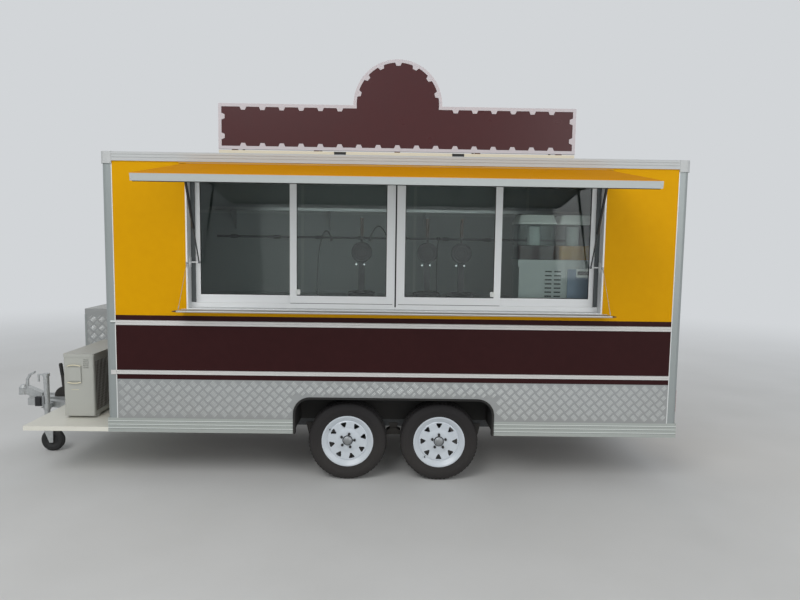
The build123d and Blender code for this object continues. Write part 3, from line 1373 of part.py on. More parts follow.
with BuildPart() as dispenser_tanks:
    for start, width in TANK_SIZES:
        middle = (DISPENSER_X + start + width / 2, sum(DISPENSER_Y) / 2)
        depth = DISPENSER_Y[1] - DISPENSER_Y[0]
        for low, high, lip in ((TANK_LOW, TANK_HIGH, 0), (TANK_HIGH, TANK_HIGH + TANK_LID, LID_LIP)):
            with BuildSketch(Plane.XY.offset(low)):
                with Locations(middle):
                    RectangleRounded(width - LID_LIP + lip, depth + lip, TANK_ROUND)
            extrude(amount=high - low)
save(dispenser_tanks, "dispenser_tanks")

# Roof sign: a board with a domed middle, framed by a toothed border
SIGN_Y = NEAR_Y + SIGN_SET_BACK
DOME_Z = SIGN_HIGH + SIGN_DOME_RISE
SIGN_FEET = (-1250, -620, 0, 620, 1250)
FOOT_HALF = 22


def sign_face(inset, mode=Mode.ADD):
    """Face of the roof sign, a long board with a round dome over its middle."""
    with Locations((0, (SIGN_LOW + SIGN_HIGH) / 2)):
        Rectangle(2 * (SIGN_HALF - inset), SIGN_HIGH - SIGN_LOW - 2 * inset, mode=mode)
    with Locations((0, DOME_Z)):
        Circle(SIGN_DOME - inset, mode=mode)


with BuildPart() as sign_panel:
    with BuildSketch(upright(SIGN_Y, BODY_X)):
        sign_face(0)
    extrude(amount=-SIGN_THICK)
    for u in SIGN_FEET:
        block((BODY_X + u - FOOT_HALF, BODY_X + u + FOOT_HALF), (SIGN_Y, SIGN_Y + SIGN_THICK), (BODY_TOP, SIGN_LOW))
save(sign_panel, "sign_panel")


def tooth(root):
    """Trapezoid tooth whose root is on the given line and whose tip points down."""
    Polygon(
        (-TOOTH_WIDTH / 2, root + 1),
        (TOOTH_WIDTH / 2, root + 1),
        (TOOTH_TIP / 2, root - TOOTH_DEEP),
        (-TOOTH_TIP / 2, root - TOOTH_DEEP),
        align=None,
    )


LONG_TEETH = int((SIGN_HALF - 2 * SIGN_BORDER) / TOOTH_PITCH)
DOME_TEETH = 7
DOME_HALF = SIGN_DOME - SIGN_BORDER
with BuildPart() as sign_border:
    with BuildSketch(upright(SIGN_Y, BODY_X)):
        sign_face(0)
        sign_face(SIGN_BORDER, Mode.SUBTRACT)
        for step in range(-LONG_TEETH, LONG_TEETH + 1):
            u = step * TOOTH_PITCH
            with Locations(Location((u, SIGN_LOW + SIGN_BORDER), 180)):
                tooth(0)
            if abs(u) > SIGN_DOME + TOOTH_WIDTH / 2:
                with Locations((u, SIGN_HIGH - SIGN_BORDER)):
                    tooth(0)
        for way in (-1, 1):
            for up in (-TOOTH_PITCH / 2, TOOTH_PITCH / 2):
                middle = (way * (SIGN_HALF - SIGN_BORDER), (SIGN_LOW + SIGN_HIGH) / 2 + up)
                with Locations(Location(middle, -way * 90)):
                    tooth(0)
        for step in range(DOME_TEETH):
            turn = -75 + 150 * step / (DOME_TEETH - 1)
            with Locations(Location((0, DOME_Z), turn)):
                tooth(DOME_HALF)
    extrude(amount=SIGN_RELIEF)
save(sign_border, "sign_border")

# Front deck over the drawbar, turned down at its edges and notched round the arms
DECK_X = (FRONT_X - DECK_REACH, FRONT_X)
with BuildPart() as front_deck:
    block(DECK_X, (NEAR_Y, FAR_Y), (DECK_TOP - DECK_RIM, DECK_TOP))
    block(
        (DECK_X[0] + DECK_SHEET, DECK_X[1]),
        (NEAR_Y + DECK_SHEET, FAR_Y - DECK_SHEET),
        (DECK_TOP - DECK_RIM, DECK_TOP - DECK_SHEET),
        mode=Mode.SUBTRACT,
    )
    outer = arm_face(DECK_X[0] + DECK_SHEET) + 4
    inner = arm_face(DECK_X[0]) - DRAWBAR_ARM - 8
    for sign in (-1, 1):
        block(
            (DECK_X[0], DECK_X[0] + DECK_SHEET),
            sorted((BODY_Y + sign * inner, BODY_Y + sign * outer)),
            (DECK_TOP - DECK_RIM, DECK_TOP - DECK_SHEET),
            mode=Mode.SUBTRACT,
        )
save(front_deck, "front_deck")

# Air conditioner: a rounded case with a lid and a valve cover, its fan forwards behind a wire guard
BOX_Y = (FAR_Y - BOX_FROM_SIDE - BOX_LENGTH, FAR_Y - BOX_FROM_SIDE)
AC_X = (FRONT_X - AC_FROM_FRONT - AC_WIDTH, FRONT_X - AC_FROM_FRONT)
AC_Y = (BOX_Y[0] - AC_TO_BOX - AC_LENGTH, BOX_Y[0] - AC_TO_BOX)
AC_Z = (DECK_TOP + AC_FOOT, DECK_TOP + AC_FOOT + AC_HEIGHT)
AC_MIDDLE = (sum(AC_X) / 2, sum(AC_Y) / 2)
AC_ROUND = 14
AC_LID = 28
AC_LID_LIP = 3
FOOT_WIDTH = 40
FOOT_INSET = 60
FAN_CENTRE = (AC_X[0] + 60, AC_Y[1] - FAN_RADIUS - 70, (AC_Z[0] + AC_Z[1]) / 2)
FAN_GAP = 10
FAN_SHAFT = 6
FAN_HUB = 45
FAN_BLADES = 3
BLADE_PITCH = radians(25)
MOTOR_RADIUS = 38
MOTOR_X = FAN_CENTRE[0] + 25
MOTOR_LENGTH = 60
STRUT_HALF = 20
VALVE_COVER = (38, 108, 286, 128)
COVER_PROUD = 12
COVER_GRIP = 8
# Slots in the near end, as the first one's (along, up), their width and their count
END_SLOTS = (165, 400, 42, 5)
COIL_FRAME = 36
COIL_DEEP = 6
FIN_PITCH = 26
with BuildPart() as ac_case:
    for width, low, high in ((0, AC_Z[0], AC_Z[1] - AC_LID), (AC_LID_LIP, AC_Z[1] - AC_LID, AC_Z[1])):
        with BuildSketch(Plane.XY.offset(low)):
            with Locations(AC_MIDDLE):
                RectangleRounded(AC_WIDTH + 2 * width, AC_LENGTH + 2 * width, AC_ROUND + width)
        extrude(amount=high - low)
    block(
        (AC_X[0] + AC_SHEET, AC_X[1] - AC_SHEET),
        (AC_Y[0] + AC_SHEET, AC_Y[1] - AC_SHEET),
        (AC_Z[0] + AC_SHEET, AC_Z[1] - AC_SHEET),
        mode=Mode.SUBTRACT,
    )
    with BuildSketch(crosswise(AC_X[0], FAN_CENTRE[1], FAN_CENTRE[2])):
        Circle(FAN_RADIUS + FAN_GAP)
    extrude(amount=AC_SHEET, mode=Mode.SUBTRACT)
    for y in (AC_Y[0] + FOOT_INSET, AC_Y[1] - FOOT_INSET - FOOT_WIDTH):
        block(AC_X, (y, y + FOOT_WIDTH), (DECK_TOP, AC_Z[0]))
    along, width, up, height = VALVE_COVER
    block(
        (AC_X[0] + along, AC_X[0] + along + width),
        (AC_Y[0] - COVER_PROUD, AC_Y[0]),
        (AC_Z[0] + up, AC_Z[0] + up + height),
    )
    for low in (AC_Z[0] + up, AC_Z[0] + up + height - COVER_GRIP):
        block(
            (AC_X[0] + along + COVER_GRIP, AC_X[0] + along + width - COVER_GRIP),
            (AC_Y[0] - COVER_PROUD, AC_Y[0] - COVER_PROUD / 2),
            (low, low + COVER_GRIP),
            mode=Mode.SUBTRACT,
        )
    along, up, width, count = END_SLOTS
    for step in range(count):
        low = AC_Z[0] + up + 2 * COVER_GRIP * step
        block(
            (AC_X[0] + along, AC_X[0] + along + width),
            (AC_Y[0], AC_Y[0] + COVER_GRIP),
            (low, low + COVER_GRIP),
            mode=Mode.SUBTRACT,
        )
    coil_y = (AC_Y[0] + COIL_FRAME, AC_Y[1] - COIL_FRAME)
    coil_z = (AC_Z[0] + COIL_FRAME, AC_Z[1] - AC_LID - COIL_FRAME)
    block((AC_X[1] - COIL_DEEP, AC_X[1]), coil_y, coil_z, mode=Mode.SUBTRACT)
    for step in range(1, int((coil_y[1] - coil_y[0]) / FIN_PITCH)):
        fin = coil_y[0] + step * FIN_PITCH
        block((AC_X[1] - COIL_DEEP, AC_X[1] - 1), (fin - 1, fin + 1), coil_z)
    block(
        (MOTOR_X + MOTOR_LENGTH / 6, MOTOR_X + MOTOR_LENGTH / 2),
        (FAN_CENTRE[1] - STRUT_HALF, FAN_CENTRE[1] + STRUT_HALF),
        (AC_Z[0] + AC_SHEET - 1, AC_Z[1] - AC_SHEET + 1),
    )
    shaft_start = FAN_CENTRE[0] - 18
    for radius, start, end in (
        (MOTOR_RADIUS, MOTOR_X, MOTOR_X + MOTOR_LENGTH),
        (FAN_SHAFT, shaft_start, MOTOR_X),
    ):
        with BuildSketch(crosswise(start, FAN_CENTRE[1], FAN_CENTRE[2])):
            Circle(radius)
        extrude(amount=end - start)
save(ac_case, "ac_case")

with BuildPart() as ac_fan:
    with BuildSketch(crosswise(FAN_CENTRE[0] - 20, FAN_CENTRE[1], FAN_CENTRE[2])):
        Circle(FAN_HUB)
        Circle(FAN_SHAFT + PIN_PLAY, mode=Mode.SUBTRACT)
    extrude(amount=40)
    for step in range(FAN_BLADES):
        turn = radians(360 * step / FAN_BLADES)
        out = Vector(0, cos(turn), sin(turn))
        around = Vector(0, -sin(turn), cos(turn))
        lean = Vector(1, 0, 0) * cos(BLADE_PITCH) + around * sin(BLADE_PITCH)
        with BuildSketch(Plane(origin=FAN_CENTRE, x_dir=out, z_dir=lean)):
            Polygon(
                (FAN_HUB - 6, -18),
                (FAN_RADIUS - 8, -62),
                (FAN_RADIUS - 8, 40),
                (FAN_HUB - 6, 24),
                align=None,
            )
        extrude(amount=2, both=True)
save(ac_fan, "ac_fan")

GUARD_WIRE = 4
GUARD_SPOKES = 8
GUARD_RINGS = (60, 90, 120, 150, 180, 208)
with BuildPart() as ac_guard:
    with BuildSketch(crosswise(AC_X[0] - GUARD_WIRE, FAN_CENTRE[1], FAN_CENTRE[2])):
        for radius in GUARD_RINGS:
            Circle(radius + GUARD_WIRE)
            Circle(radius, mode=Mode.SUBTRACT)
        with PolarLocations((GUARD_RINGS[0] + GUARD_RINGS[-1]) / 2, GUARD_SPOKES):
            Rectangle(GUARD_RINGS[-1] - GUARD_RINGS[0], GUARD_WIRE)
    extrude(amount=GUARD_WIRE)
save(ac_guard, "ac_guard")

# Storage box with a hollow lid on two hinges along its trailer side
BOX_X = (FRONT_X - BOX_FROM_FRONT - BOX_WIDTH, FRONT_X - BOX_FROM_FRONT)
BOX_RIM = DECK_TOP + BOX_HEIGHT - LID_HEIGHT
LID_AXIS = (BOX_X[1] + 8, BOX_RIM)
LID_KNUCKLE = 6
LID_PIN = 3
LID_HINGES = (BOX_Y[0] + 150, BOX_Y[1] - 150)
BOX_SHELLS = (
    ("storage_box", DECK_TOP, BOX_RIM, False),
    ("storage_lid", BOX_RIM + HINGE_PLAY, BOX_RIM + LID_HEIGHT, True),
)
for name, low, high, lid in BOX_SHELLS:
    with BuildPart() as shell:
        block(BOX_X, BOX_Y, (low, high))
        block(
            (BOX_X[0] + BOX_SHEET, BOX_X[1] - BOX_SHEET),
            (BOX_Y[0] + BOX_SHEET, BOX_Y[1] - BOX_SHEET),
            (low, high - BOX_SHEET) if lid else (low + BOX_SHEET, high),
            mode=Mode.SUBTRACT,
        )
        for y in LID_HINGES:
            start = y + HINGE_PLAY if lid else y - 40
            web = (low, low + 20) if lid else (BOX_RIM - 20, BOX_RIM)
            block((BOX_X[1], LID_AXIS[0]), (start, start + 40), web)
            with BuildSketch(upright(start, LID_AXIS[0], LID_AXIS[1])):
                Circle(LID_KNUCKLE)
            extrude(amount=-40)
            with BuildSketch(upright(y, LID_AXIS[0], LID_AXIS[1])):
                Circle(LID_PIN + PIN_PLAY if lid else LID_PIN)
            if lid:
                extrude(amount=-42, mode=Mode.SUBTRACT)
            else:
                extrude(amount=-38)
    save(shell, name)

# Tail lamps on the rear skirt: a base and a lens in three steps
LAMP_WIDTH = 100
LAMP_INSET = 100
LAMP_LOW = FLOOR_TOP + 60
LAMP_HEIGHT = 190
LAMP_BASE = 14
LENS_EDGE = 6
LENS_RIB = 3
with BuildPart() as tail_lamps:
    for face, sign in SIDES:
        block(
            (REAR_X + TREAD_SKIN, REAR_X + TREAD_SKIN + LAMP_BASE),
            inward(face, sign, LAMP_INSET, LAMP_INSET + LAMP_WIDTH),
            (LAMP_LOW, LAMP_LOW + LAMP_HEIGHT),
        )
        for step in range(3):
            low = LAMP_LOW + LENS_EDGE + step * (LAMP_HEIGHT - LENS_EDGE) / 3
            block(
                (REAR_X + TREAD_SKIN, REAR_X + REAR_PROUD),
                inward(face, sign, LAMP_INSET + LENS_EDGE, LAMP_INSET + LAMP_WIDTH - LENS_EDGE),
                (low, low + (LAMP_HEIGHT - LENS_EDGE) / 3 - LENS_RIB),
            )
save(tail_lamps, "tail_lamps")
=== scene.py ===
"""Looks of a twin-axle food trailer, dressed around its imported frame.

Metres, +Z up from the ground, the hitch towards -X and the serving side towards -Y.
Each sub-assembly is a class: its sizes are fields, and its build method makes its pieces.
"""

from __future__ import annotations

import json
import logging
import math
from collections.abc import Sequence
from dataclasses import dataclass, replace
from enum import Enum

import bmesh
import bpy
from mathutils import Matrix, Vector

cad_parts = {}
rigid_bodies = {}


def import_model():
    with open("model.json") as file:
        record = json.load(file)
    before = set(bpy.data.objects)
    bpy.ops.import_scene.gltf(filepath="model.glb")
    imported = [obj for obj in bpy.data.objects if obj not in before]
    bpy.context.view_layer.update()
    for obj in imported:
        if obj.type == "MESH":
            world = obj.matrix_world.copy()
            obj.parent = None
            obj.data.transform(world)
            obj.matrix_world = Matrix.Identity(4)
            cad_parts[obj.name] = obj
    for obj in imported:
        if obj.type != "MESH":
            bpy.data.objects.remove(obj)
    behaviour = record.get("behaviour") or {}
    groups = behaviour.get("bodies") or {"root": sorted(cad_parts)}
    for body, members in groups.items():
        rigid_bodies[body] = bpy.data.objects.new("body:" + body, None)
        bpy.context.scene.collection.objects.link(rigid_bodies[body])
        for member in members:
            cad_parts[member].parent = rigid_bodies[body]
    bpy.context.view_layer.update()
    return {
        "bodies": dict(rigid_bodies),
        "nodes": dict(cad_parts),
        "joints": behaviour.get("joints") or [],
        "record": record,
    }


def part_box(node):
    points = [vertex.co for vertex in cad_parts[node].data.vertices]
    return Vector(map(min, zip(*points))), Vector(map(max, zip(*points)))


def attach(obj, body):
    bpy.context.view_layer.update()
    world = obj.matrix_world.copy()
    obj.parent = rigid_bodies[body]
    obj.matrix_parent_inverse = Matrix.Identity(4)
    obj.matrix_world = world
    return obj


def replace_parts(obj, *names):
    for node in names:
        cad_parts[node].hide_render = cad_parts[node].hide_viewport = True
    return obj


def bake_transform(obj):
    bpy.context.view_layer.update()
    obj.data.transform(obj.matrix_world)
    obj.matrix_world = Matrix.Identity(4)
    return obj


log = logging.getLogger("food_trailer")

Point = Sequence[float]
Outline = Sequence[tuple[float, float]]


def linear(code: str) -> tuple[float, float, float, float]:
    """Turn an sRGB hex colour into Blender's linear colour.

    Args:
        code: The colour as #RRGGBB.

    Returns:
        Linear red, green and blue, and full opacity.
    """
    parts = [int(code[i : i + 2], 16) / 255 for i in (1, 3, 5)]
    red, green, blue = (p / 12.92 if p <= 0.04045 else ((p + 0.055) / 1.055) ** 2.4 for p in parts)
    return red, green, blue, 1.0


def add_node(
    tree: bpy.types.NodeTree, kind: str, settings: dict | None = None, links: dict | None = None
) -> bpy.types.Node:
    """Add a shader node.

    Args:
        tree: The node tree that it joins.
        kind: Blender's name for the kind of node.
        settings: Values by attribute name, or by the name or number of an input.
        links: Output sockets by the name or number of the input that they feed.

    Returns:
        The new node.
    """
    made = tree.nodes.new(kind)
    for key, value in (settings or {}).items():
        if isinstance(key, int) or key in made.inputs:
            made.inputs[key].default_value = value
        else:
            setattr(made, key, value)
    for key, socket in (links or {}).items():
        tree.links.new(socket, made.inputs[key])
    return made


class Grain(Enum):
    """The texture that a way of making leaves on a surface."""

    MOULDED = "moulded"
    SPRAYED = "sprayed"
    BRUSHED = "brushed"
    SPANGLED = "spangled"
    CAST = "cast"
    SAWN = "sawn"


# How many times longer than wide a directed grain's lines are
GRAIN_STRETCH = {Grain.BRUSHED: 60, Grain.SAWN: 12}
# How much finer detail the other grains hold
GRAIN_DETAIL = {Grain.MOULDED: 1.0, Grain.SPRAYED: 2.0, Grain.CAST: 8.0}
# Slow waves of colour over a whole panel, to the metre
MOTTLE_PER_METRE = 1.7
COAT_ROUGHNESS = 0.12
LEAST_ROUGHNESS = 0.02
DUST_ROUGHNESS = 0.85
# Dust is thickest below this height in metres, and thins to this share between its patches
DUST_LOW = 0.25
DUST_LEAST = 0.35


@dataclass(frozen=True)
class Finish:
    """A surface as it was made: its colours, its gloss and the texture of its making.

    Attributes:
        shade: The colour that it wanders to.
        roughness: Its middle roughness.
        grain_mm: The size of that texture's grains or lines.
        bump_mm: How high they stand.
        spread: How far the roughness wanders each way.
        soil: The most road dust that it carries, from 0 to 1.
        soil_top: The height in metres where that dust ends.
        film_from: The height in metres from which film covers it, or 0 for none.
        lets_light_through: Whether lamps shine through it, as through a pane.
    """

    name: str
    colour: str
    shade: str
    roughness: float
    grain: Grain = Grain.MOULDED
    grain_mm: float = 8.0
    bump_mm: float = 0.02
    spread: float = 0.08
    metallic: float = 0.0
    ior: float = 1.5
    coat: float = 0.0
    transmission: float = 0.0
    soil: float = 0.0
    soil_top: float = 0.9
    soil_colour: str = "#8F877B"
    film_from: float = 0.0
    film_colour: str = "#C58D00"
    lets_light_through: bool = False

    def material(self) -> bpy.types.Material:
        """Make the finish's nodes, the first time that it is asked for.

        Returns:
            The finish as a material.
        """
        found = bpy.data.materials.get(self.name)
        if found:
            return found
        material = bpy.data.materials.new(self.name)
        material.use_nodes = True
        material.diffuse_color = linear(self.colour)
        tree = material.node_tree
        shader = tree.nodes["Principled BSDF"]
        shader.inputs["Metallic"].default_value = self.metallic
        shader.inputs["Coat Weight"].default_value = self.coat
        shader.inputs["Coat Roughness"].default_value = COAT_ROUGHNESS
        shader.inputs["Transmission Weight"].default_value = self.transmission
        if not self.metallic:
            shader.inputs["IOR"].default_value = self.ior
        coords = add_node(tree, "ShaderNodeTexCoord").outputs["Object"]
        pattern = self.pattern(tree, coords)
        settings = {"Scale": MOTTLE_PER_METRE, "Detail": 4.0, "Roughness": 0.6}
        mottle = add_node(tree, "ShaderNodeTexNoise", settings, {"Vector": coords}).outputs["Fac"]
        half = add_node(tree, "ShaderNodeMath", {"operation": "MULTIPLY", 1: 0.5}, {0: mottle}).outputs[0]
        settings = {"operation": "MULTIPLY_ADD", 1: 0.5, "use_clamp": True}
        blend = add_node(tree, "ShaderNodeMath", settings, {0: pattern, 2: half}).outputs[0]
        settings = {"data_type": "RGBA", 6: linear(self.colour), 7: linear(self.shade)}
        colour = add_node(tree, "ShaderNodeMix", settings, {0: blend}).outputs[2]
        dullest = min(self.roughness + self.spread, 1.0)
        settings = {"To Min": max(self.roughness - self.spread, LEAST_ROUGHNESS), "To Max": dullest}
        rough = add_node(tree, "ShaderNodeMapRange", settings, {"Value": blend}).outputs[0]
        if self.film_from:
            height = add_node(tree, "ShaderNodeSeparateXYZ", None, {0: coords}).outputs[2]
            settings = {"operation": "GREATER_THAN", 1: self.film_from}
            filmed = add_node(tree, "ShaderNodeMath", settings, {0: height}).outputs[0]
            settings = {"data_type": "RGBA", 7: linear(self.film_colour)}
            colour = add_node(tree, "ShaderNodeMix", settings, {0: filmed, 6: colour}).outputs[2]
        if self.soil:
            amount = self.soil_amount(tree, coords, mottle)
            settings = {"data_type": "RGBA", 7: linear(self.soil_colour)}
            colour = add_node(tree, "ShaderNodeMix", settings, {0: amount, 6: colour}).outputs[2]
            rough = add_node(tree, "ShaderNodeMix", {3: DUST_ROUGHNESS}, {0: amount, 2: rough}).outputs[0]
        tree.links.new(colour, shader.inputs["Base Color"])
        tree.links.new(rough, shader.inputs["Roughness"])
        settings = {"Strength": 1.0, "Distance": self.bump_mm / 1000}
        bump = add_node(tree, "ShaderNodeBump", settings, {"Height": pattern}).outputs["Normal"]
        tree.links.new(bump, shader.inputs["Normal"])
        if self.lets_light_through:
            self.pass_light(tree, shader)
        return material

    def pattern(self, tree: bpy.types.NodeTree, coords: bpy.types.NodeSocket) -> bpy.types.NodeSocket:
        """Add the nodes of the grain.

        Args:
            tree: The material's node tree.
            coords: The object's own coordinates, in metres.

        Returns:
            A socket that runs from 0 to 1 over the grain.
        """
        fine = 1000 / self.grain_mm
        if self.grain is Grain.SPANGLED:
            cells = add_node(tree, "ShaderNodeTexVoronoi", {"Scale": fine}, {"Vector": coords})
            return add_node(tree, "ShaderNodeSeparateColor", None, {0: cells.outputs["Color"]}).outputs[0]
        if self.grain in GRAIN_STRETCH:
            scale = (fine / GRAIN_STRETCH[self.grain], fine, fine)
            coords = add_node(tree, "ShaderNodeMapping", {"Scale": scale}, {"Vector": coords}).outputs[0]
            settings = {"Scale": 1.0, "Detail": 6.0, "Roughness": 0.6}
        else:
            settings = {"Scale": fine, "Detail": GRAIN_DETAIL[self.grain], "Roughness": 0.5}
        return add_node(tree, "ShaderNodeTexNoise", settings, {"Vector": coords}).outputs["Fac"]

    def soil_amount(
        self, tree: bpy.types.NodeTree, coords: bpy.types.NodeSocket, mottle: bpy.types.NodeSocket
    ) -> bpy.types.NodeSocket:
        """Add the nodes of road dust, which gathers low down and in patches.

        Args:
            tree: The material's node tree.
            coords: The object's own coordinates, in metres.
            mottle: A slow noise from 0 to 1.

        Returns:
            The share of dust, from 0 to the finish's own most.
        """
        height = add_node(tree, "ShaderNodeSeparateXYZ", None, {0: coords}).outputs[2]
        settings = {"From Min": self.soil_top, "From Max": DUST_LOW, "To Max": self.soil}
        low = add_node(tree, "ShaderNodeMapRange", settings, {"Value": height}).outputs[0]
        settings = {"From Min": 0.3, "From Max": 0.7, "To Min": DUST_LEAST}
        patches = add_node(tree, "ShaderNodeMapRange", settings, {"Value": mottle}).outputs[0]
        return add_node(tree, "ShaderNodeMath", {"operation": "MULTIPLY"}, {0: low, 1: patches}).outputs[0]

    def pass_light(self, tree: bpy.types.NodeTree, shader: bpy.types.Node) -> None:
        """Let the lamps shine through, as a thin pane does.

        Args:
            tree: The material's node tree.
            shader: The finish's own shader.
        """
        clear = add_node(tree, "ShaderNodeBsdfTransparent", {"Color": linear(self.colour)})
        shadow = add_node(tree, "ShaderNodeLightPath").outputs["Is Shadow Ray"]
        links = {0: shadow, 1: shader.outputs[0], 2: clear.outputs[0]}
        both = add_node(tree, "ShaderNodeMixShader", None, links)
        tree.links.new(both.outputs[0], tree.nodes["Material Output"].inputs["Surface"])


# Grains are sized in millimetres. Real brushed lines and moulded textures are 0.1 to 0.5 mm, too fine to
# show in the render, so they are drawn 1 to 5 mm wide, as coarse as they need to show. Metals keep the
# default IOR.

# Printed vinyl film on a painted aluminium skin: even, satin, a little wavy over the panel
YELLOW_FILM = Finish("printed_vinyl_yellow", "#CF9800", "#C58D00", 0.5, grain_mm=60, bump_mm=0.12, ior=1.16)
# The same film on the hatch: a deeper yellow, darkened as painted shade under the roof rail, and matt with no sheen
SHADED_HATCH_FILM = Finish("vinyl_yellow_painted_shade", "#CB8A06", "#BD7E02", 0.85, grain_mm=60, bump_mm=0.12, ior=1.08)
# The same film in dark brown: even and satin, almost black in the shade
BROWN_FILM = Finish("printed_vinyl_brown", "#331617", "#2A1112", 0.5, grain_mm=60, bump_mm=0.1, ior=1.2)
# Brown film on the sign's stiff composite board: flatter, with a soft shine
SIGN_FILM = Finish("printed_composite_brown", "#462022", "#3C1A1C", 0.3, grain_mm=90, bump_mm=0.05, ior=1.38)
# Sheet cut from white foamed PVC: chalky and matt, with a trace of the cutter on its edges
FOAM_PVC = Finish("cut_foam_pvc_white", "#BBB7BB", "#B0ACB1", 0.6, grain_mm=3, bump_mm=0.05)
# Anodised aluminium extrusion: satin grey-blue with fine lines along its length
ANODISED = Finish(
    "anodised_aluminium", "#969C9B", "#8B9190", 0.42, Grain.BRUSHED,
    grain_mm=2, bump_mm=0.01, metallic=0.35,
)
# Powder-coated aluminium extrusion: pale, even, faintly pebbled
POWDER_WHITE = Finish(
    "powder_coated_white", "#DCDEDD", "#D2D4D3", 0.4, Grain.SPRAYED,
    grain_mm=4, bump_mm=0.03,
)
# The same coat on the hatch's bars, gone greyer in the weather
POWDER_GREY = replace(POWDER_WHITE, name="powder_coated_pale_grey", colour="#ABB0AE", shade="#A1A6A4")
# The windows' coat, made lighter as painted light against the shade of the hatch above: the whitest part of the
# serving side
LIGHTENED_WINDOW_WHITE = replace(POWDER_WHITE, name="window_white_painted_light", colour="#E0E2E2", shade="#D5D7D7")
# The heights of the hatch's hinge line and of its hinge rail's lower edge, in metres
HINGE_HEIGHT = 2.497
HINGE_RAIL_LOW = HINGE_HEIGHT - 0.0085
# The opening's frame is the same, with the wall's film run up over its hinge rail
OPENING_WHITE = replace(LIGHTENED_WINDOW_WHITE, name="filmed_opening_frame", film_from=HINGE_RAIL_LOW)
# Roof edge and roof sheet: painted aluminium, an older white gone to a dull grey
ROOF_WHITE = Finish("painted_roof_white", "#B5B7B6", "#A9ABAA", 0.5, Grain.SPRAYED, grain_mm=5, bump_mm=0.04)
# The belt rails' powder coat: a warm silver grey, smooth and satin
BELT_SILVER = Finish("powder_coated_silver_grey", "#C8C7C4", "#BBBAB7", 0.42, Grain.SPRAYED, grain_mm=4)
# The serving shelf's powder coat: a warm mid grey, a little duller from wiping
SHELF_GREY = Finish(
    "powder_coated_warm_grey", "#989288", "#8C867C", 0.45, Grain.SPRAYED,
    grain_mm=4, bump_mm=0.03,
)
# Aluminium as it left the press: silvery, with die lines along it and dust near the road
MILL_ALUMINIUM = Finish(
    "mill_finish_aluminium", "#AEB4B0", "#A0A6A2", 0.4, Grain.BRUSHED,
    grain_mm=3, bump_mm=0.02, metallic=0.4, soil=0.2,
)
# The ridges along the same sills, lighter than the sill as painted highlights: thin pale lines
MILL_RIDGE_HIGHLIGHT = Finish(
    "mill_aluminium_painted_highlight", "#DADFDB", "#CCD1CD", 0.3, Grain.BRUSHED,
    grain_mm=3, bump_mm=0.01, metallic=0.4,
)
# Dim grey on the window units' side channels and in the sills' grooves: painted shade, where these lie in shadow
SHADE_GREY = Finish(
    "grey_painted_shade", "#565B5C", "#4A4F50", 0.5, Grain.BRUSHED,
    grain_mm=2, metallic=0.3,
)
# Rolled aluminium tread plate: dull, darker than its bars as painted shade in the hollows between them, and dusty
# near the road
TREAD_PLATE = Finish(
    "rolled_tread_plate", "#9DA0A0", "#8E9191", 0.5, Grain.BRUSHED,
    grain_mm=5, bump_mm=0.02, metallic=0.4, soil=0.35,
)
# The tops of its bars, lighter as a painted highlight
TREAD_BAR_HIGHLIGHT = Finish(
    "tread_bars_painted_highlight", "#BCBFBE", "#ACAFAE", 0.34, Grain.BRUSHED,
    grain_mm=5, bump_mm=0.02, metallic=0.5, soil=0.2,
)
# Hot-dip galvanised steel: zinc spangle of 10 to 20 mm crystals, dull and a little dusty
GALVANISED = Finish(
    "hot_dip_galvanised", "#C6C9C9", "#A9ADAE", 0.42, Grain.SPANGLED,
    grain_mm=16, bump_mm=0.01, spread=0.12, metallic=0.65, soil=0.2,
)
# The same zinc under the body, dulled by spray from the road and darkened further as painted shade of the body
# above it
GALVANISED_DUST_AND_SHADE = Finish(
    "galvanised_dust_and_painted_shade", "#4E5051", "#3E4041", 0.7, Grain.SPANGLED,
    grain_mm=16, bump_mm=0.01, metallic=0.2,
)
# Black chassis paint over steel, dulled by road dust
CHASSIS_BLACK = Finish(
    "brushed_on_chassis_paint", "#191919", "#242322", 0.6, Grain.CAST,
    bump_mm=0.2, soil=0.15,
)
# Moulded liner of the wheel arches: black and rough, so that the wheels stand out in front of it
ARCH_BLACK = Finish(
    "moulded_black_liner", "#0E0E0E", "#151515", 0.75, Grain.CAST,
    grain_mm=5, bump_mm=0.1, soil=0.06,
)
# Vulcanised rubber: near black, dull, grey with dust where it meets the road
TYRE = Finish(
    "vulcanised_tyre_rubber", "#171516", "#1D1B1C", 0.85, Grain.CAST,
    grain_mm=3, soil=0.05, soil_top=0.6,
)
# Rubber of seals, grips and the jockey wheel: near black with a faint broad sheen
RUBBER = Finish("extruded_seal_rubber", "#161616", "#1F1F1F", 0.65, grain_mm=4)
# White wheel enamel, sprayed and baked: glossy, with a breath of brake dust
RIM_ENAMEL = Finish(
    "sprayed_wheel_enamel", "#CAD2D9", "#C0C8CF", 0.3, Grain.SPRAYED,
    grain_mm=6, bump_mm=0.02, coat=0.4, soil=0.2,
)
# Cream enamel sprayed over the front deck: even and warm, softened by dust
CREAM_PAINT = Finish(
    "sprayed_cream_enamel", "#DAD9CE", "#D0CEC2", 0.45, Grain.SPRAYED,
    bump_mm=0.05, soil=0.12,
)
# Coated sheet steel of the air conditioner: a putty grey with a fine pebble and road dust
APPLIANCE = Finish("coated_appliance_steel", "#ABACA5", "#A1A29B", 0.45, Grain.SPRAYED, grain_mm=3, soil=0.2)
# Float glass: clear, a green-grey breath in its body
GLASS = Finish(
    "float_glass", "#E3EBE9", "#DDE6E3", 0.03,
    grain_mm=400, bump_mm=0.02, spread=0.01, transmission=1.0, ior=1.33, lets_light_through=True,
)
# Stoved black paint on the struts' cylinders: smooth, with a narrow highlight along them
BLACK_PAINT = Finish("stoved_black_paint", "#101011", "#18181A", 0.35, Grain.SPRAYED, grain_mm=3, coat=0.2)
# Hard chrome on the struts' rods: smooth, its colour darkened as a painted reflection of the dark that it mirrors
HARD_CHROME = Finish("hard_chromed_rod", "#606264", "#525456", 0.22, grain_mm=40, bump_mm=0.01, metallic=1.0)
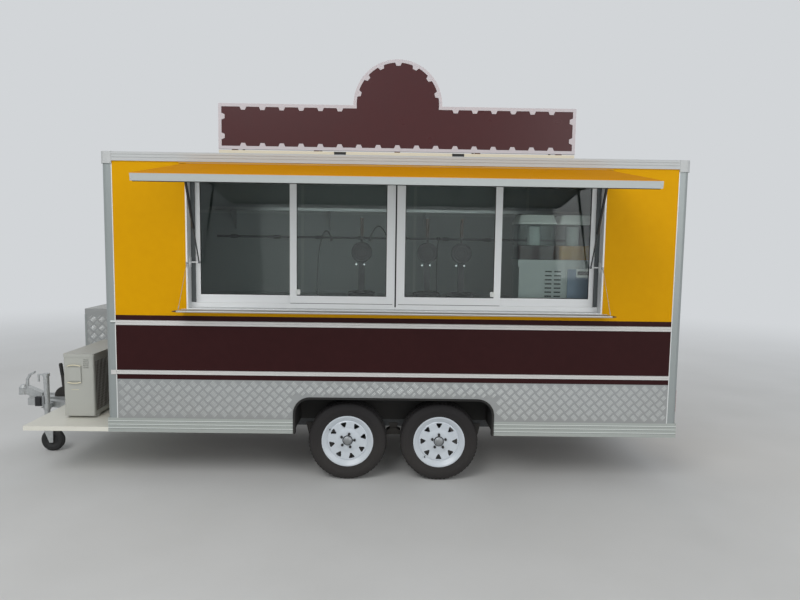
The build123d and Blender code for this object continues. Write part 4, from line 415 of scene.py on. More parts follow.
# Polished chrome on knobs and the lock: a mirror with bright edges
CHROME = Finish(
    "polished_chrome", "#D8DADB", "#C9CBCC", 0.1,
    grain_mm=40, bump_mm=0.01, spread=0.04, metallic=1.0,
)
# Brushed stainless steel: a soft shine, stretched along its lines
STAINLESS = Finish(
    "brushed_stainless_steel", "#B9BBBB", "#A5A7A8", 0.32, Grain.BRUSHED,
    grain_mm=1.5, bump_mm=0.01, metallic=1.0,
)
# Seasoned cast iron: black and pebbled, with a trace of oil on it
CAST_IRON = Finish("seasoned_cast_iron", "#17171A", "#242225", 0.5, Grain.CAST, grain_mm=2, bump_mm=0.15)
# Sealed birch plywood of the floor: brown, dull, trodden dusty
PLYWOOD = Finish(
    "sealed_birch_plywood", "#6D5A48", "#5A4838", 0.6, Grain.SAWN,
    grain_mm=6, bump_mm=0.05, soil=0.3,
)
# Moulded ABS: one even colour with an eggshell texture. Black is for small fittings and the fan
ABS_BLACK = Finish("moulded_abs_black", "#17181A", "#202124", 0.5, Grain.CAST, grain_mm=1.2, bump_mm=0.03)
# Grey is for the dispenser's base and the strips over the lining's seams
ABS_GREY = Finish("moulded_abs_grey", "#A8ACAB", "#9CA09F", 0.45, Grain.CAST, grain_mm=1.5, bump_mm=0.02)
# White is for the tanks' lids, the window latches and the fan guard's wires
ABS_WHITE = Finish("moulded_abs_white", "#DADCD9", "#CED0CD", 0.45, Grain.CAST, grain_mm=1.5, bump_mm=0.02)
# Blown acrylic bowls, tinted as the photograph shows the two tanks: amber and a dark red-brown
ACRYLIC_YELLOW = Finish("blown_acrylic_amber", "#B5821A", "#A57410", 0.3, grain_mm=90, ior=1.2)
ACRYLIC_DARK = Finish("blown_acrylic_dark", "#3A1D1E", "#2F1718", 0.3, grain_mm=90, ior=1.2)
# Moulded lens of the tail lamps: deep red and glossy, with waves that break up the light
LAMP_RED = Finish("moulded_lamp_red", "#9A1310", "#85100D", 0.15, grain_mm=10, bump_mm=0.3, coat=0.5)
# Fins of the air conditioner's coil: brown, rough, without a shine
COIL_BROWN = Finish("coil_fins_brown", "#4A3A36", "#3A2D2A", 0.6, Grain.CAST, grain_mm=2, bump_mm=0.3)
# High-pressure laminate over the inside of the cabin: pale grey, nearly matt
LAMINATE = Finish("pressed_laminate_grey", "#9A9E9D", "#8F9493", 0.5, Grain.CAST, grain_mm=2, bump_mm=0.02)
# Zinc-plated steel of the small hardware: grey, cloudy, softly shining
ZINC = Finish(
    "zinc_plated_steel", "#A3A5A6", "#8D9092", 0.4, Grain.CAST,
    grain_mm=9, bump_mm=0.02, metallic=0.8,
)
# Phosphated steel of the wheel nuts and the sign's braces: near black with a dull gleam
DARK_STEEL = Finish("phosphated_steel", "#2B2B2E", "#3A3735", 0.5, Grain.CAST, grain_mm=3, metallic=0.6)
# Turned beech, oiled by the hand: warm, with grain 1 to 2 mm wide along the grip
BEECH = Finish("oiled_beech", "#6E5443", "#5A4235", 0.5, Grain.SAWN, grain_mm=2, bump_mm=0.03)
# Moulded end caps of the shelf: a warm brown beside the film's darker one
CAP_BROWN = Finish("moulded_cap_brown", "#4A2A1C", "#3E2116", 0.5, Grain.CAST, grain_mm=1.5, bump_mm=0.02)
# Cream enamel on the strip along the sign's foot: yellower and duller than the deck's
CREAM_TRIM = Finish("sprayed_cream_trim", "#CFC6B0", "#C3BAA4", 0.5, Grain.SPRAYED, grain_mm=4, bump_mm=0.03)
# Moulded grips of the air conditioner's cover: plastic yellowed by the sun
CREAM_GRIP = Finish("moulded_grip_cream", "#D8D0B4", "#CCC4A8", 0.45, Grain.CAST, grain_mm=1.5, bump_mm=0.02)
# Cast acrylic sheet: clear, with a faint grey edge
ACRYLIC_CLEAR = Finish(
    "cast_acrylic_clear", "#EEF2F2", "#E4EAEA", 0.06,
    grain_mm=300, spread=0.02, transmission=1.0, ior=1.3, lets_light_through=True,
)
# Printed film over the dispenser's controls: a smooth blue-grey, half matt
PANEL_BLUE = Finish("printed_panel_blue_grey", "#6F7E92", "#66748A", 0.35, grain_mm=40)

# The finish of each CAD node that shows as it is
NODE_FINISHES: dict[Finish, tuple[str, ...]] = {
    YELLOW_FILM: ("serving_wall", "far_wall", "front_wall", "rear_wall", "door_leaf"),
    SHADED_HATCH_FILM: ("hatch_skin",),
    BROWN_FILM: ("brown_band",),
    SIGN_FILM: ("sign_panel",),
    FOAM_PVC: ("sign_border",),
    ANODISED: ("corner_posts",),
    MILL_ALUMINIUM: ("sill_rails",),
    LIGHTENED_WINDOW_WHITE: ("window_frames", "window_sashes"),
    OPENING_WHITE: ("opening_frame",),
    SHELF_GREY: ("service_shelf",),
    POWDER_GREY: ("hatch_frame",),
    POWDER_WHITE: ("door_frame",),
    ROOF_WHITE: ("roof_rails", "roof_panel"),
    BELT_SILVER: ("belt_rails",),
    TREAD_PLATE: ("tread_skirts", "storage_box", "storage_lid"),
    GALVANISED: ("drawbar_arms", "coupling_head", "jockey_tube", "jockey_fork"),
    GALVANISED_DUST_AND_SHADE: ("main_rails", "cross_beams", "axles"),
    CHASSIS_BLACK: ("leaf_springs", "spring_hangers", "handbrake"),
    ARCH_BLACK: ("wheel_boxes", "arch_trims"),
    TYRE: ("tyre_front_near", "tyre_front_far", "tyre_rear_near", "tyre_rear_far"),
    RIM_ENAMEL: ("rim_front_near", "rim_front_far", "rim_rear_near", "rim_rear_far"),
    RUBBER: ("jockey_wheel",),
    GLASS: ("window_glass",),
    BLACK_PAINT: ("strut_cylinder_left", "strut_cylinder_right"),
    HARD_CHROME: ("strut_rod_left", "strut_rod_right"),
    STAINLESS: ("worktops",),
    CAST_IRON: ("waffle_irons",),
    ABS_GREY: ("dispenser_base",),
    CREAM_PAINT: ("front_deck",),
    APPLIANCE: ("ac_case",),
    ABS_BLACK: ("ac_fan", "ac_guard"),
    LAMP_RED: ("tail_lamps",),
    PLYWOOD: ("floor_panels",),
}


def dress_nodes(nodes: dict[str, bpy.types.Object]) -> None:
    """Give every CAD node its finish.

    Args:
        nodes: The frame's objects by their node's name.
    """
    for finish, names in NODE_FINISHES.items():
        for name in names:
            mesh = nodes[name].data
            mesh.materials.clear()
            mesh.materials.append(finish.material())
    log.info("finished %d CAD nodes", len(nodes))


# The least turn between two faces, in degrees, whose edge gets rounded
SHARP_EDGE = 40


class Form:
    """A mesh in the making: shapes are added to it, and it ends as one piece."""

    def __init__(self) -> None:
        """Start with nothing in it."""
        self.mesh = bmesh.new()

    def faces(
        self, points: Sequence[Point], loops: Sequence[Sequence[int]], place: Matrix | None = None
    ) -> None:
        """Add faces.

        Args:
            points: The corners.
            loops: The corners of each face, by number.
            place: Where the shape's own frame stands, if not at the origin.
        """
        made = [self.mesh.verts.new(place @ Vector(p) if place else p) for p in points]
        for loop in loops:
            self.mesh.faces.new([made[i] for i in loop])

    def box(self, low: Point, high: Point, place: Matrix | None = None) -> None:
        """Add a block.

        Args:
            low: One of its corners.
            high: The corner across from it.
            place: Where the block's own frame stands, if not at the origin.
        """
        spans = [sorted(ends) for ends in zip(low, high)]
        points = [(x, y, z) for x in spans[0] for y in spans[1] for z in spans[2]]
        loops = ((0, 1, 3, 2), (4, 6, 7, 5), (0, 4, 5, 1), (2, 3, 7, 6), (0, 2, 6, 4), (1, 5, 7, 3))
        self.faces(points, loops, place)

    def prism(self, outline: Outline, place: Matrix, depth: float) -> None:
        """Add a straight bar.

        Args:
            outline: Its section, anticlockwise in the X and Y of its place.
            place: Where the section stands.
            depth: Its length along the place's Z.
        """
        count = len(outline)
        points = [(x, y, z) for z in (0.0, depth) for x, y in outline]
        loops = [(i, (i + 1) % count, (i + 1) % count + count, i + count) for i in range(count)]
        loops += [tuple(reversed(range(count))), tuple(range(count, 2 * count))]
        self.faces(points, loops, place)

    def sleeve(self, outer: Outline, inner: Outline, place: Matrix, depth: float) -> None:
        """Add an upright wall between two outlines.

        Args:
            outer: Its outline outside.
            inner: Its outline inside, with as many points.
            place: Where its foot stands.
            depth: Its height.
        """
        count = len(outer)
        points = [(x, y, z) for z in (0.0, depth) for x, y in (*outer, *inner)]
        loops = []
        for i in range(count):
            j = (i + 1) % count
            loops.append((i, j, j + 2 * count, i + 2 * count))
            loops.append((i + count, i + 3 * count, j + 3 * count, j + count))
            loops.append((i, i + count, j + count, j))
            loops.append((i + 2 * count, j + 2 * count, j + 3 * count, i + 3 * count))
        self.faces(points, loops, place)

    def stack(self, rings: Sequence[Outline], heights: Sequence[float], place: Matrix) -> None:
        """Add a closed form through outlines above each other.

        Args:
            rings: The outlines from the lowest up, each with as many points.
            heights: Their heights.
            place: Where the form stands.
        """
        count = len(rings[0])
        points = [(x, y, z) for ring, z in zip(rings, heights) for x, y in ring]
        loops = [tuple(reversed(range(count))), tuple(range(len(points) - count, len(points)))]
        for level in range(len(rings) - 1):
            for i in range(count):
                a, b = level * count + i, level * count + (i + 1) % count
                loops.append((a, b, b + count, a + count))
        self.faces(points, loops, place)

    def lathe(self, profile: Outline, place: Matrix, steps: int = 32) -> None:
        """Add a turned shape.

        Args:
            profile: Its (radius, height) points, closed from the last one to the first.
            place: Where it stands, turning about its Z.
            steps: How many flats go round it.
        """
        count = len(profile)
        rings: list[list[bmesh.types.BMVert]] = []
        for radius, height in profile:
            if radius < 1e-6:
                rings.append([self.mesh.verts.new(place @ Vector((0, 0, height)))] * steps)
                continue
            spots = [place @ Vector((x, y, height)) for x, y in round_points(radius, steps)]
            rings.append([self.mesh.verts.new(spot) for spot in spots])
        for i in range(count):
            below, above = rings[i], rings[(i + 1) % count]
            for step in range(steps):
                after = (step + 1) % steps
                corners = [below[step], below[after], above[after], above[step]]
                unique = list(dict.fromkeys(corners))
                if len(unique) > 2:
                    self.mesh.faces.new(unique)

    def tube(self, points: Sequence[Point], radius: float, steps: int = 10, closed: bool = False) -> None:
        """Add a round bar along a path.

        Args:
            points: The path's corners, as close together as its bends ask.
            radius: The bar's radius.
            steps: How many flats go round it.
            closed: Whether its end meets its start.
        """
        path = [Vector(p) for p in points]
        last = len(path) - 1
        rings = []
        side = Vector()
        for i, point in enumerate(path):
            before = path[i - 1] if i or closed else point
            after = path[(i + 1) % len(path)] if i < last or closed else point
            ahead = (after - before).normalized()
            if side.length < 0.5:
                side = ahead.orthogonal()
            side = (side - ahead * side.dot(ahead)).normalized()
            other = ahead.cross(side)
            spots = [point + radius * (side * x + other * y) for x, y in round_points(1.0, steps)]
            rings.append([self.mesh.verts.new(spot) for spot in spots])
        for i in range(len(rings) if closed else last):
            near, far = rings[i], rings[(i + 1) % len(rings)]
            for step in range(steps):
                after = (step + 1) % steps
                self.mesh.faces.new((near[step], near[after], far[after], far[step]))
        if not closed:
            self.mesh.faces.new(list(reversed(rings[0])))
            self.mesh.faces.new(rings[-1])

    def done(
        self, name: str, finish: Finish, slot: str, round_mm: float = 0.0,
        body: str | None = "trailer", smooth: float = 35.0,
    ) -> bpy.types.Object:
        """End the mesh as a piece that rides on a body.

        Args:
            name: The piece's name.
            finish: Its surface.
            slot: The record's material slot; not used.
            round_mm: How far its edges are rounded.
            body: The CAD body that carries it, or none where it bends between two.
            smooth: The sharpest edge, in degrees, that shades smooth.

        Returns:
            The piece.
        """
        bmesh.ops.recalc_face_normals(self.mesh, faces=self.mesh.faces)
        for face in self.mesh.faces:
            face.smooth = True
        for edge in self.mesh.edges:
            if len(edge.link_faces) == 2 and edge.calc_face_angle(0.0) > math.radians(smooth):
                edge.smooth = False
        data = bpy.data.meshes.new(name)
        self.mesh.to_mesh(data)
        self.mesh.free()
        data.materials.append(finish.material())
        piece = bpy.data.objects.new(name, data)
        bpy.context.scene.collection.objects.link(piece)
        if round_mm:
            bevel = piece.modifiers.new("rounded_edges", "BEVEL")
            bevel.width = round_mm / 1000
            bevel.segments = 2
            bevel.limit_method = "ANGLE"
            bevel.angle_limit = math.radians(SHARP_EDGE)
            bevel.harden_normals = True
        if body:
            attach(piece, body)
        log.info("%s on %s: %d faces", name, body, len(data.polygons))
        return piece


def facing(centre: Point, out: Point, up: Point = (0, 0, 1)) -> Matrix:
    """Place whose Z points out of a surface.

    Args:
        centre: Its origin.
        out: The way that its Z points.
        up: The way that its Y points as nearly as it can.

    Returns:
        The place as a matrix.
    """
    z = Vector(out).normalized()
    x = Vector(up).cross(z).normalized()
    y = z.cross(x)
    return Matrix.Translation(Vector(centre)) @ Matrix((x, y, z)).transposed().to_4x4()


def at(x: float, y: float, z: float) -> Matrix:
    """Return the place at a point, level with the ground."""
    return Matrix.Translation((x, y, z))


def round_points(radius: float, count: int) -> Outline:
    """Return a number of points spread evenly round a circle."""
    turns = [math.tau * step / count for step in range(count)]
    return [(radius * math.cos(turn), radius * math.sin(turn)) for turn in turns]


@dataclass(frozen=True)
class Shell:
    """The places of the trailer's body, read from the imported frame, in metres."""

    front: float
    rear: float
    near: float
    far: float
    wall_top: float
    top: float
    middle: float
    post: float

    @classmethod
    def measured(cls) -> Shell:
        """Read the places from the CAD nodes' boxes.

        Returns:
            The body's faces, the tops of its walls and roof rails, its middle and its posts' width.
        """
        low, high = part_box("corner_posts")
        return cls(
            front=low[0],
            rear=high[0],
            near=low[1],
            far=high[1],
            wall_top=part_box("serving_wall")[1][2],
            top=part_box("roof_rails")[1][2],
            middle=(low[0] + high[0]) / 2,
            post=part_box("serving_wall")[0][0] - low[0],
        )


@dataclass
class CabinLining:
    """Pale grey laminate over the inside of the walls and ceiling, with its corner trims."""

    shell: Shell
    thick: float = 0.002
    gap: float = 0.0006
    seam_pitch: float = 1.2
    seam_width: float = 0.03
    rail_height: float = 2.20

    def build(self) -> None:
        """Line the cabin's four walls and its ceiling, and join the sheets with flat strips."""
        low = Vector((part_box("front_wall")[1][0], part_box("serving_wall")[1][1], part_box("floor_panels")[1][2]))
        high = Vector((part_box("rear_wall")[0][0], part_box("far_wall")[0][1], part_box("roof_panel")[0][2]))
        low += Vector((self.gap,) * 3)
        high -= Vector((self.gap,) * 3)
        wall_top = self.shell.wall_top
        opening_low, opening_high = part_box("opening_frame")
        door_low, door_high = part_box("door_frame")
        boxes_low, boxes_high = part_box("wheel_boxes")
        sheet = Form()
        t = self.thick
        sheet.box((low.x, high.y - t, boxes_high[2] + t), (high.x, high.y, wall_top))
        for start, end in ((low.x, boxes_low[0]), (boxes_high[0], high.x)):
            sheet.box((start, high.y - t, low.z), (end, high.y, boxes_high[2] + t))
            sheet.box((start, low.y, low.z), (end, low.y + t, boxes_high[2] + t))
        sheet.box((low.x, low.y, boxes_high[2] + t), (high.x, low.y + t, opening_low[2]))
        for start, end in ((low.x, opening_low[0]), (opening_high[0], high.x)):
            sheet.box((start, low.y, opening_low[2]), (end, low.y + t, wall_top))
        sheet.box((low.x, low.y, low.z), (low.x + t, high.y, wall_top))
        for start, end in ((low.y, door_low[1]), (door_high[1], high.y)):
            sheet.box((high.x - t, start, low.z), (high.x, end, wall_top))
        sheet.box((high.x - t, door_low[1], door_high[2]), (high.x, door_high[1], wall_top))
        sheet.box((low.x, low.y, high.z - t), (high.x, high.y, high.z))
        sheet.done("cabin_lining", LAMINATE, "window_white")
        trim = Form()
        count = int((high.x - low.x) / self.seam_pitch)
        for step in range(1, count + 1):
            x = low.x + step * self.seam_pitch
            trim.box((x, high.y - 3 * t, boxes_high[2] + t), (x + self.seam_width, high.y - t, wall_top))
        rail_top = self.rail_height + self.seam_width
        trim.box((low.x + t, high.y - 5 * t, self.rail_height), (high.x - t, high.y - t, rail_top))
        trim.done("cabin_seams", ABS_GREY, "window_white")


# How far the lid's hinge stands out behind the storage box, in metres
LID_HINGE_DEPTH = 0.014


@dataclass
class TreadPlate:
    """The raised bars of tread plate, in square groups of five that stand on their corners."""

    shell: Shell
    cell: float = 0.056
    bar_length: float = 0.045
    bar_width: float = 0.0066
    bar_pitch: float = 0.0098
    rise: float = 0.0014
    bars: int = 5
    margin: float = 0.004
    lamp_length: float = 0.1

    def bar(self, form: Form, place: Matrix) -> None:
        """Add one bar, a ridge that tapers to its two ends.

        Args:
            form: The mesh that takes it.
            place: Its middle, with its Z out of the plate.
        """
        half, wide, up = self.bar_length / 2, self.bar_width / 2, self.rise
        flat = half / 2
        foot = ((-half, 0), (-flat, -wide), (flat, -wide), (half, 0), (flat, wide), (-flat, wide))
        points = [*((x, y, 0) for x, y in foot), (-flat, 0, up), (flat, 0, up)]
        loops = ((0, 1, 6), (1, 2, 7, 6), (2, 3, 7), (3, 4, 7), (4, 5, 6, 7), (5, 0, 6))
        form.faces(points, loops, place)

    def cover(
        self, form: Form, origin: Point, out: Point, size: tuple[float, float],
        holes: Sequence[Sequence[float]] = (),
    ) -> None:
        """Cover a flat area.

        Args:
            form: The mesh that takes the bars.
            origin: The area's lower left corner, as seen from outside.
            out: The way that the area faces.
            size: How far it runs to the right and up.
            holes: Areas that stay bare, each as (left, right, low, high).
        """
        up = (0, 0, 1) if abs(out[2]) < 0.5 else (0, 1, 0)
        place = facing(origin, out, up)
        reach = self.cell * math.sqrt(0.5)
        for row in range(int(size[1] / reach) + 2):
            lean = math.radians(45 if row % 2 else -45)
            turn = Matrix.Rotation(lean, 4, "Z")
            ahead = Vector((math.cos(lean), math.sin(lean))) * self.bar_length / 2
            for column in range(row % 2, int(size[0] / reach) + 2, 2):
                for step in range(self.bars):
                    off = (step - (self.bars - 1) / 2) * self.bar_pitch
                    spot = turn @ Vector((0, off, 0)) + Vector((column * reach, row * reach, 0))
                    ends = (spot.xy - ahead, spot.xy + ahead)
                    if all(self.clear(end, size, holes) for end in ends):
                        self.bar(form, place @ Matrix.Translation(spot) @ turn)

    def clear(self, spot: Vector, size: tuple[float, float], holes: Sequence[Sequence[float]]) -> bool:
        """Tell whether a bar's end lies on the plate and off its holes.

        Args:
            spot: The bar's end, from the plate's lower left corner.
            size: How far the plate runs to the right and up.
            holes: Areas that stay bare, each as (left, right, low, high).

        Returns:
            Whether it does.
        """
        m = self.margin
        if not (m < spot.x < size[0] - m and m < spot.y < size[1] - m):
            return False
        return not any(a - m < spot.x < b + m and c - m < spot.y < d + m for a, b, c, d in holes)

    def build(self) -> None:
        """Cover the skirts on all four sides, the storage box and its lid."""
        s = self.shell
        low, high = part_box("tread_skirts")
        arch_low, arch_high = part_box("arch_trims")
        left, right = s.front + s.post, s.rear - s.post
        length, height = right - left, high[2] - low[2]
        arch = (arch_low[0] - left, arch_high[0] - left, -1.0, arch_high[2] - low[2])
        mirrored = (length - arch[1], length - arch[0], arch[2], arch[3])
        form = Form()
        self.cover(form, (left, low[1], low[2]), (0, -1, 0), (length, height), (arch,))
        self.cover(form, (right, high[1], low[2]), (0, 1, 0), (length, height), (mirrored,))
        width = s.far - s.near - 2 * s.post
        self.cover(form, (low[0], s.far - s.post, low[2]), (-1, 0, 0), (width, height))
        door_low, door_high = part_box("door_frame")
        lamp_low, lamp_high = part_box("tail_lamps")
        lamp_rise = (lamp_low[2] - low[2], lamp_high[2] - low[2])
        edge = s.near + s.post
        bare = (
            (door_low[1] - edge, door_high[1] - edge, -1.0, 1.0),
            (lamp_low[1] - edge, lamp_low[1] + self.lamp_length - edge, *lamp_rise),
            (lamp_high[1] - self.lamp_length - edge, lamp_high[1] - edge, *lamp_rise),
        )
        self.cover(form, (high[0], edge, low[2]), (1, 0, 0), (width, height), bare)
        form.done("skirt_tread_bars", TREAD_BAR_HIGHLIGHT, "tread_plate")
        self.cover_box("storage_box", "trailer", "box_tread_bars")
        self.cover_box("storage_lid", "box_lid", "lid_tread_bars")

    def cover_box(self, node: str, body: str, name: str) -> None:
        """Cover the sides of the storage box where a group of bars fits, or the top of its lid.

        Args:
            node: The box's CAD node, or the lid's.
            body: The body that carries it.
            name: The piece's name.
        """
        low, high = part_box(node)
        lid_low, lid_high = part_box("storage_lid")
        right, back = lid_high[0] - LID_HINGE_DEPTH, high[1]
        top = high[2] if node == "storage_lid" else lid_low[2]
        wide, long, height = right - low[0], back - low[1], top - low[2]
        form = Form()
        if height > self.cell:
            for x, y, out, run in (
                (low[0], low[1], (0, -1, 0), wide),
                (right, back, (0, 1, 0), wide),
                (low[0], back, (-1, 0, 0), long),
                (right, low[1], (1, 0, 0), long),
            ):
                self.cover(form, (x, y, low[2]), out, (run, height))
        if node == "storage_lid":
            self.cover(form, (low[0], low[1], top), (0, 0, 1), (wide, long))
        form.done(name, TREAD_BAR_HIGHLIGHT, "tread_plate", body=body)


class Axle(Enum):
    """One of the trailer's two axles."""

    FRONT = "front"
    REAR = "rear"


class Side(Enum):
    """One of the trailer's two sides: near is the serving side."""

    NEAR = "near"
    FAR = "far"


@dataclass
class RoadWheel:
    """A radial tyre with its tread, and the dust cap, collar, nuts and valve of its hub.

    Attributes:
        turned: How far its nuts are turned round, in degrees.
        valve: Where its valve stands round the disc, in degrees.
    """

    axle: Axle
    side: Side
    turned: float
    valve: float
    steps: int = 180
    groove: float = 0.007
    notch: float = 0.0056
    lug_steps: int = 3
    nut_pitch: float = 0.056
    nuts: int = 5
    disc: float = 0.058
    valve_pitch: float = 0.170
    cap: Outline = (
        (0, 0.023), (0.020, 0.0225), (0.030, 0.0195), (0.0328, 0.0165), (0.0335, -0.002), (0, -0.002)
    )
    collar: Outline = ((0.0336, -0.0005), (0.0336, 0.008), (0.039, 0.006), (0.042, -0.0005))
    nut: Outline = (
        (0, 0.0168), (0.0098, 0.0168), (0.0112, 0.0155), (0.0112, 0), (0.0135, -0.0003), (0, -0.0003)
    )
    stem: Outline = (
        (0, 0.030), (0.0042, 0.030), (0.0042, 0.018), (0.0034, 0.017), (0.0034, 0.008), (0.0065, 0), (0, 0)
    )

    def build(self) -> None:
        """Make the tyre in place of its plain solid, and dress the hub."""
        wheel = f"{self.axle.value}_{self.side.value}"
        node = f"tyre_{wheel}"
        low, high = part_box(node)
        out = -1 if self.side is Side.NEAR else 1
        centre = (low + high) / 2
        place = facing(centre, (0, out, 0))
        radius = (high[2] - low[2]) / 2
        half = (high[1] - low[1]) / 2
        body = f"wheel_{wheel}"
        tyre = Form()
        self.carcass(tyre, place, radius, half)
        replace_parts(tyre.done(f"dressed_{node}", TYRE, "tyre_rubber", smooth=28, body=body), node)
        self.dress_hub(place, body)

    def carcass(self, form: Form, place: Matrix, radius: float, half: float) -> None:
        """Add the tyre's casing and tread.

        Args:
            form: The mesh that takes it.
            place: The wheel's middle, with its Z along the axle and outwards.
            radius: The tyre's outer radius.
            half: Half its width.
        """
        side = (
            (0.0745, 0.1905), (0.0825, 0.2092), (0.0880, 0.2125), (0.0885, 0.2165),
            (0.0930, 0.2320), (0.0962, 0.2480), (0.0968, 0.2492), (0.0968, 0.2520),
            (half, 0.2540), (half - 0.0004, 0.2680), (half - 0.0036, 0.2830),
            (half - 0.0085, 0.2960), (half - 0.0150, 0.3060),
        )
        sunk = radius - self.groove
        tread = (
            (half - 0.0220, radius - 0.0052, True),
            (half - 0.0300, radius - 0.0030, True),
            (0.0480, radius - 0.0012, True),
            (0.0480, sunk, False), (0.0400, sunk, False),
            (0.0400, radius - 0.0004, False), (0.0160, radius, False),
            (0.0160, sunk, False), (0.0080, sunk, False),
            (0.0080, radius, False),
        )
        half_section = [(z, r, False) for z, r in side] + list(tread)
        section = half_section + [(-z, r, cut) for z, r, cut in reversed(half_section)]
        rings = []
        circle = round_points(1.0, self.steps)
        for along, out, cut in section:
            ring = []
            for step, (x, y) in enumerate(circle):
                reach = out - (self.notch if cut and step % self.lug_steps == 0 else 0.0)
                ring.append(form.mesh.verts.new(place @ Vector((reach * x, reach * y, along))))
            rings.append(ring)
        for near, far in zip(rings, rings[1:] + rings[:1]):
            for step in range(self.steps):
                after = (step + 1) % self.steps
                form.mesh.faces.new((near[step], near[after], far[after], far[step]))

    def dress_hub(self, place: Matrix, body: str) -> None:
        """Add the dust cap, its dark collar, the wheel nuts and the valve.

        Args:
            place: The wheel's middle, with its Z along the axle and outwards.
            body: The wheel's body.
        """
        hub = place @ at(0, 0, self.disc)
        cap, dark, valve = Form(), Form(), Form()
        cap.lathe(self.cap, hub, 48)
        dark.lathe(self.collar, hub, 48)
        start = 90 + self.turned if self.side is Side.NEAR else 270 - self.turned
        for step in range(self.nuts):
            dark.lathe(self.nut, hub @ self.around(start + step * 360 / self.nuts, self.nut_pitch), 6)
        valve.lathe(self.stem, hub @ self.around(self.valve, self.valve_pitch), 14)
        cap.done(f"dust_cap_{body}", ZINC, "galvanised_steel", body=body)
        dark.done(f"wheel_nuts_{body}", DARK_STEEL, "galvanised_steel", smooth=25, body=body)
        valve.done(f"valve_{body}", RUBBER, "tyre_rubber", body=body)

    def around(self, angle: float, reach: float) -> Matrix:
        """Return the shift to a spot on the disc, by degrees round it and its reach."""
        turn = math.radians(angle)
        return at(reach * math.cos(turn), reach * math.sin(turn), 0)


@dataclass
class ServingWindows:
    """Seals, weather bars, tracks, side channels and latches of the two sliding window units."""

    seal: float = 0.005
    stile: float = 0.054
    rail: float = 0.062
    channel: float = 0.030
    gap: float = 0.012
    lip: float = 0.012
    track_inset: float = 0.013
    meeting_half: float = 0.0058

    def build(self) -> None:
        """Make the seals round the panes, the tracks and channels that they run in, and the latches."""
        panes = self.panes()
        self.make_seals(panes)
        self.make_tracks()
        self.make_latches(panes)

    def make_seals(self, panes: Sequence[Point]) -> None:
        """Run a seal round each pane, a weather bar along the foot of its sash, and a thin dark strip at the sash's
        foot that is both a seal and painted shade of the step below it.

        Args:
            panes: Each pane's left edge, right edge and sash front, in metres.
        """
        low, high = (corner[2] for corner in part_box("window_glass"))
        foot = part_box("window_sashes")[0][2]
        seals, beads = Form(), Form()
        for left, right, front in panes:
            inner = (left + self.seal, right - self.seal, low + self.seal, high - self.seal)
            for a, b, c, d in (
                (left, right, low, inner[2]),
                (left, right, inner[3], high),
                (left, inner[0], inner[2], inner[3]),
                (inner[1], right, inner[2], inner[3]),
            ):
                seals.box((a, front + 0.004, c), (b, front + 0.0072, d))
            ends = (left - self.stile + 0.004, right + self.stile - 0.004)
            beads.box((ends[0], front - 0.002, foot + 0.004), (ends[1], front, foot + self.rail - 0.016))
            # A thin dark strip along the sash's foot: a seal, and painted shade of the step below the sash
            seals.box((ends[0], front - 0.0005, foot), (ends[1], front + 0.001, foot + 0.0035))
        seals.done("pane_seals", RUBBER, "strut_black")
        beads.done("sash_weather_bars", LIGHTENED_WINDOW_WHITE, "window_white", 0.8)

    def make_tracks(self) -> None:
        """Lay the sill's two tracks, the seal between the two units and the channels at their sides, dark grey as
        painted shade.
        """
        low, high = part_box("window_frames")
        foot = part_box("window_sashes")[0][2]
        left, right, face = low[0] + self.track_inset, high[0] - self.track_inset, low[1]
        tracks, gap, channels = Form(), Form(), Form()
        tracks.box((left, face - 0.004, low[2] + 0.002), (right, face + 0.001, low[2] + 0.018))
        tracks.box((left, face + 0.0225, foot - 0.002), (right, face + 0.0245, foot + 0.006))
        middle, half, front = (low[0] + high[0]) / 2, self.meeting_half, face + 0.012
        gap.box((middle - half, front, low[2]), (middle + half, front + 0.004, high[2]))
        for x, way in ((low[0], 1), (high[0], -1)):
            edge = (x + way * 0.001, face - 0.0015, foot + 0.002)
            channels.box(edge, (x + way * self.channel, face + 0.0245, high[2] - 0.001))
        tracks.done("sill_tracks", LIGHTENED_WINDOW_WHITE, "window_white", 0.4)
        gap.done("meeting_seal", RUBBER, "strut_black")
        # The side channels' dark grey is painted shade of the stiles beside the jambs
        channels.done("side_channel_shade", SHADE_GREY, "window_white", 0.8)

    def make_latches(self, panes: Sequence[Point]) -> None:
        """Set a latch low on the outer side of each of the two inner sashes.

        Args:
            panes: Each pane's left edge, right edge and sash front, in metres.
        """
        latches = Form()
        y, z = panes[2][2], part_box("window_glass")[0][2] + 0.030
        for x in (panes[2][1] - 0.012, panes[1][0] + 0.012):
            latches.box((x - 0.017, y - 0.010, z - 0.020), (x + 0.017, y + 0.004, z + 0.020))
            latches.box((x - 0.007, y - 0.020, z - 0.012), (x + 0.007, y - 0.008, z + 0.012))
        latches.done("sash_latches", ABS_WHITE, "window_white", 2.0)

    def panes(self) -> list[tuple[float, float, float]]:
        """Work out the four panes.

        Returns:
            Each pane's left edge, right edge and sash front, in metres.
        """
        low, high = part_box("window_frames")
        half = (high[0] - low[0]) / 2
        middle = (low[0] + high[0]) / 2
        width = (half - self.gap / 2 - 2 * self.lip + self.stile) / 2
        fronts = (low[1] + 0.026, low[1] + 0.002)
        starts = (
            (-half + self.lip, fronts[0]),
            (-self.gap / 2 - self.lip - width, fronts[1]),
            (self.gap / 2 + self.lip, fronts[1]),
            (half - self.lip - width, fronts[0]),
        )
        return [(middle + s + self.stile, middle + s + width - self.stile, front) for s, front in starts]


def middle_of(node: str) -> Vector:
    """Return the middle of a CAD node's box."""
    low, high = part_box(node)
    return (low + high) / 2


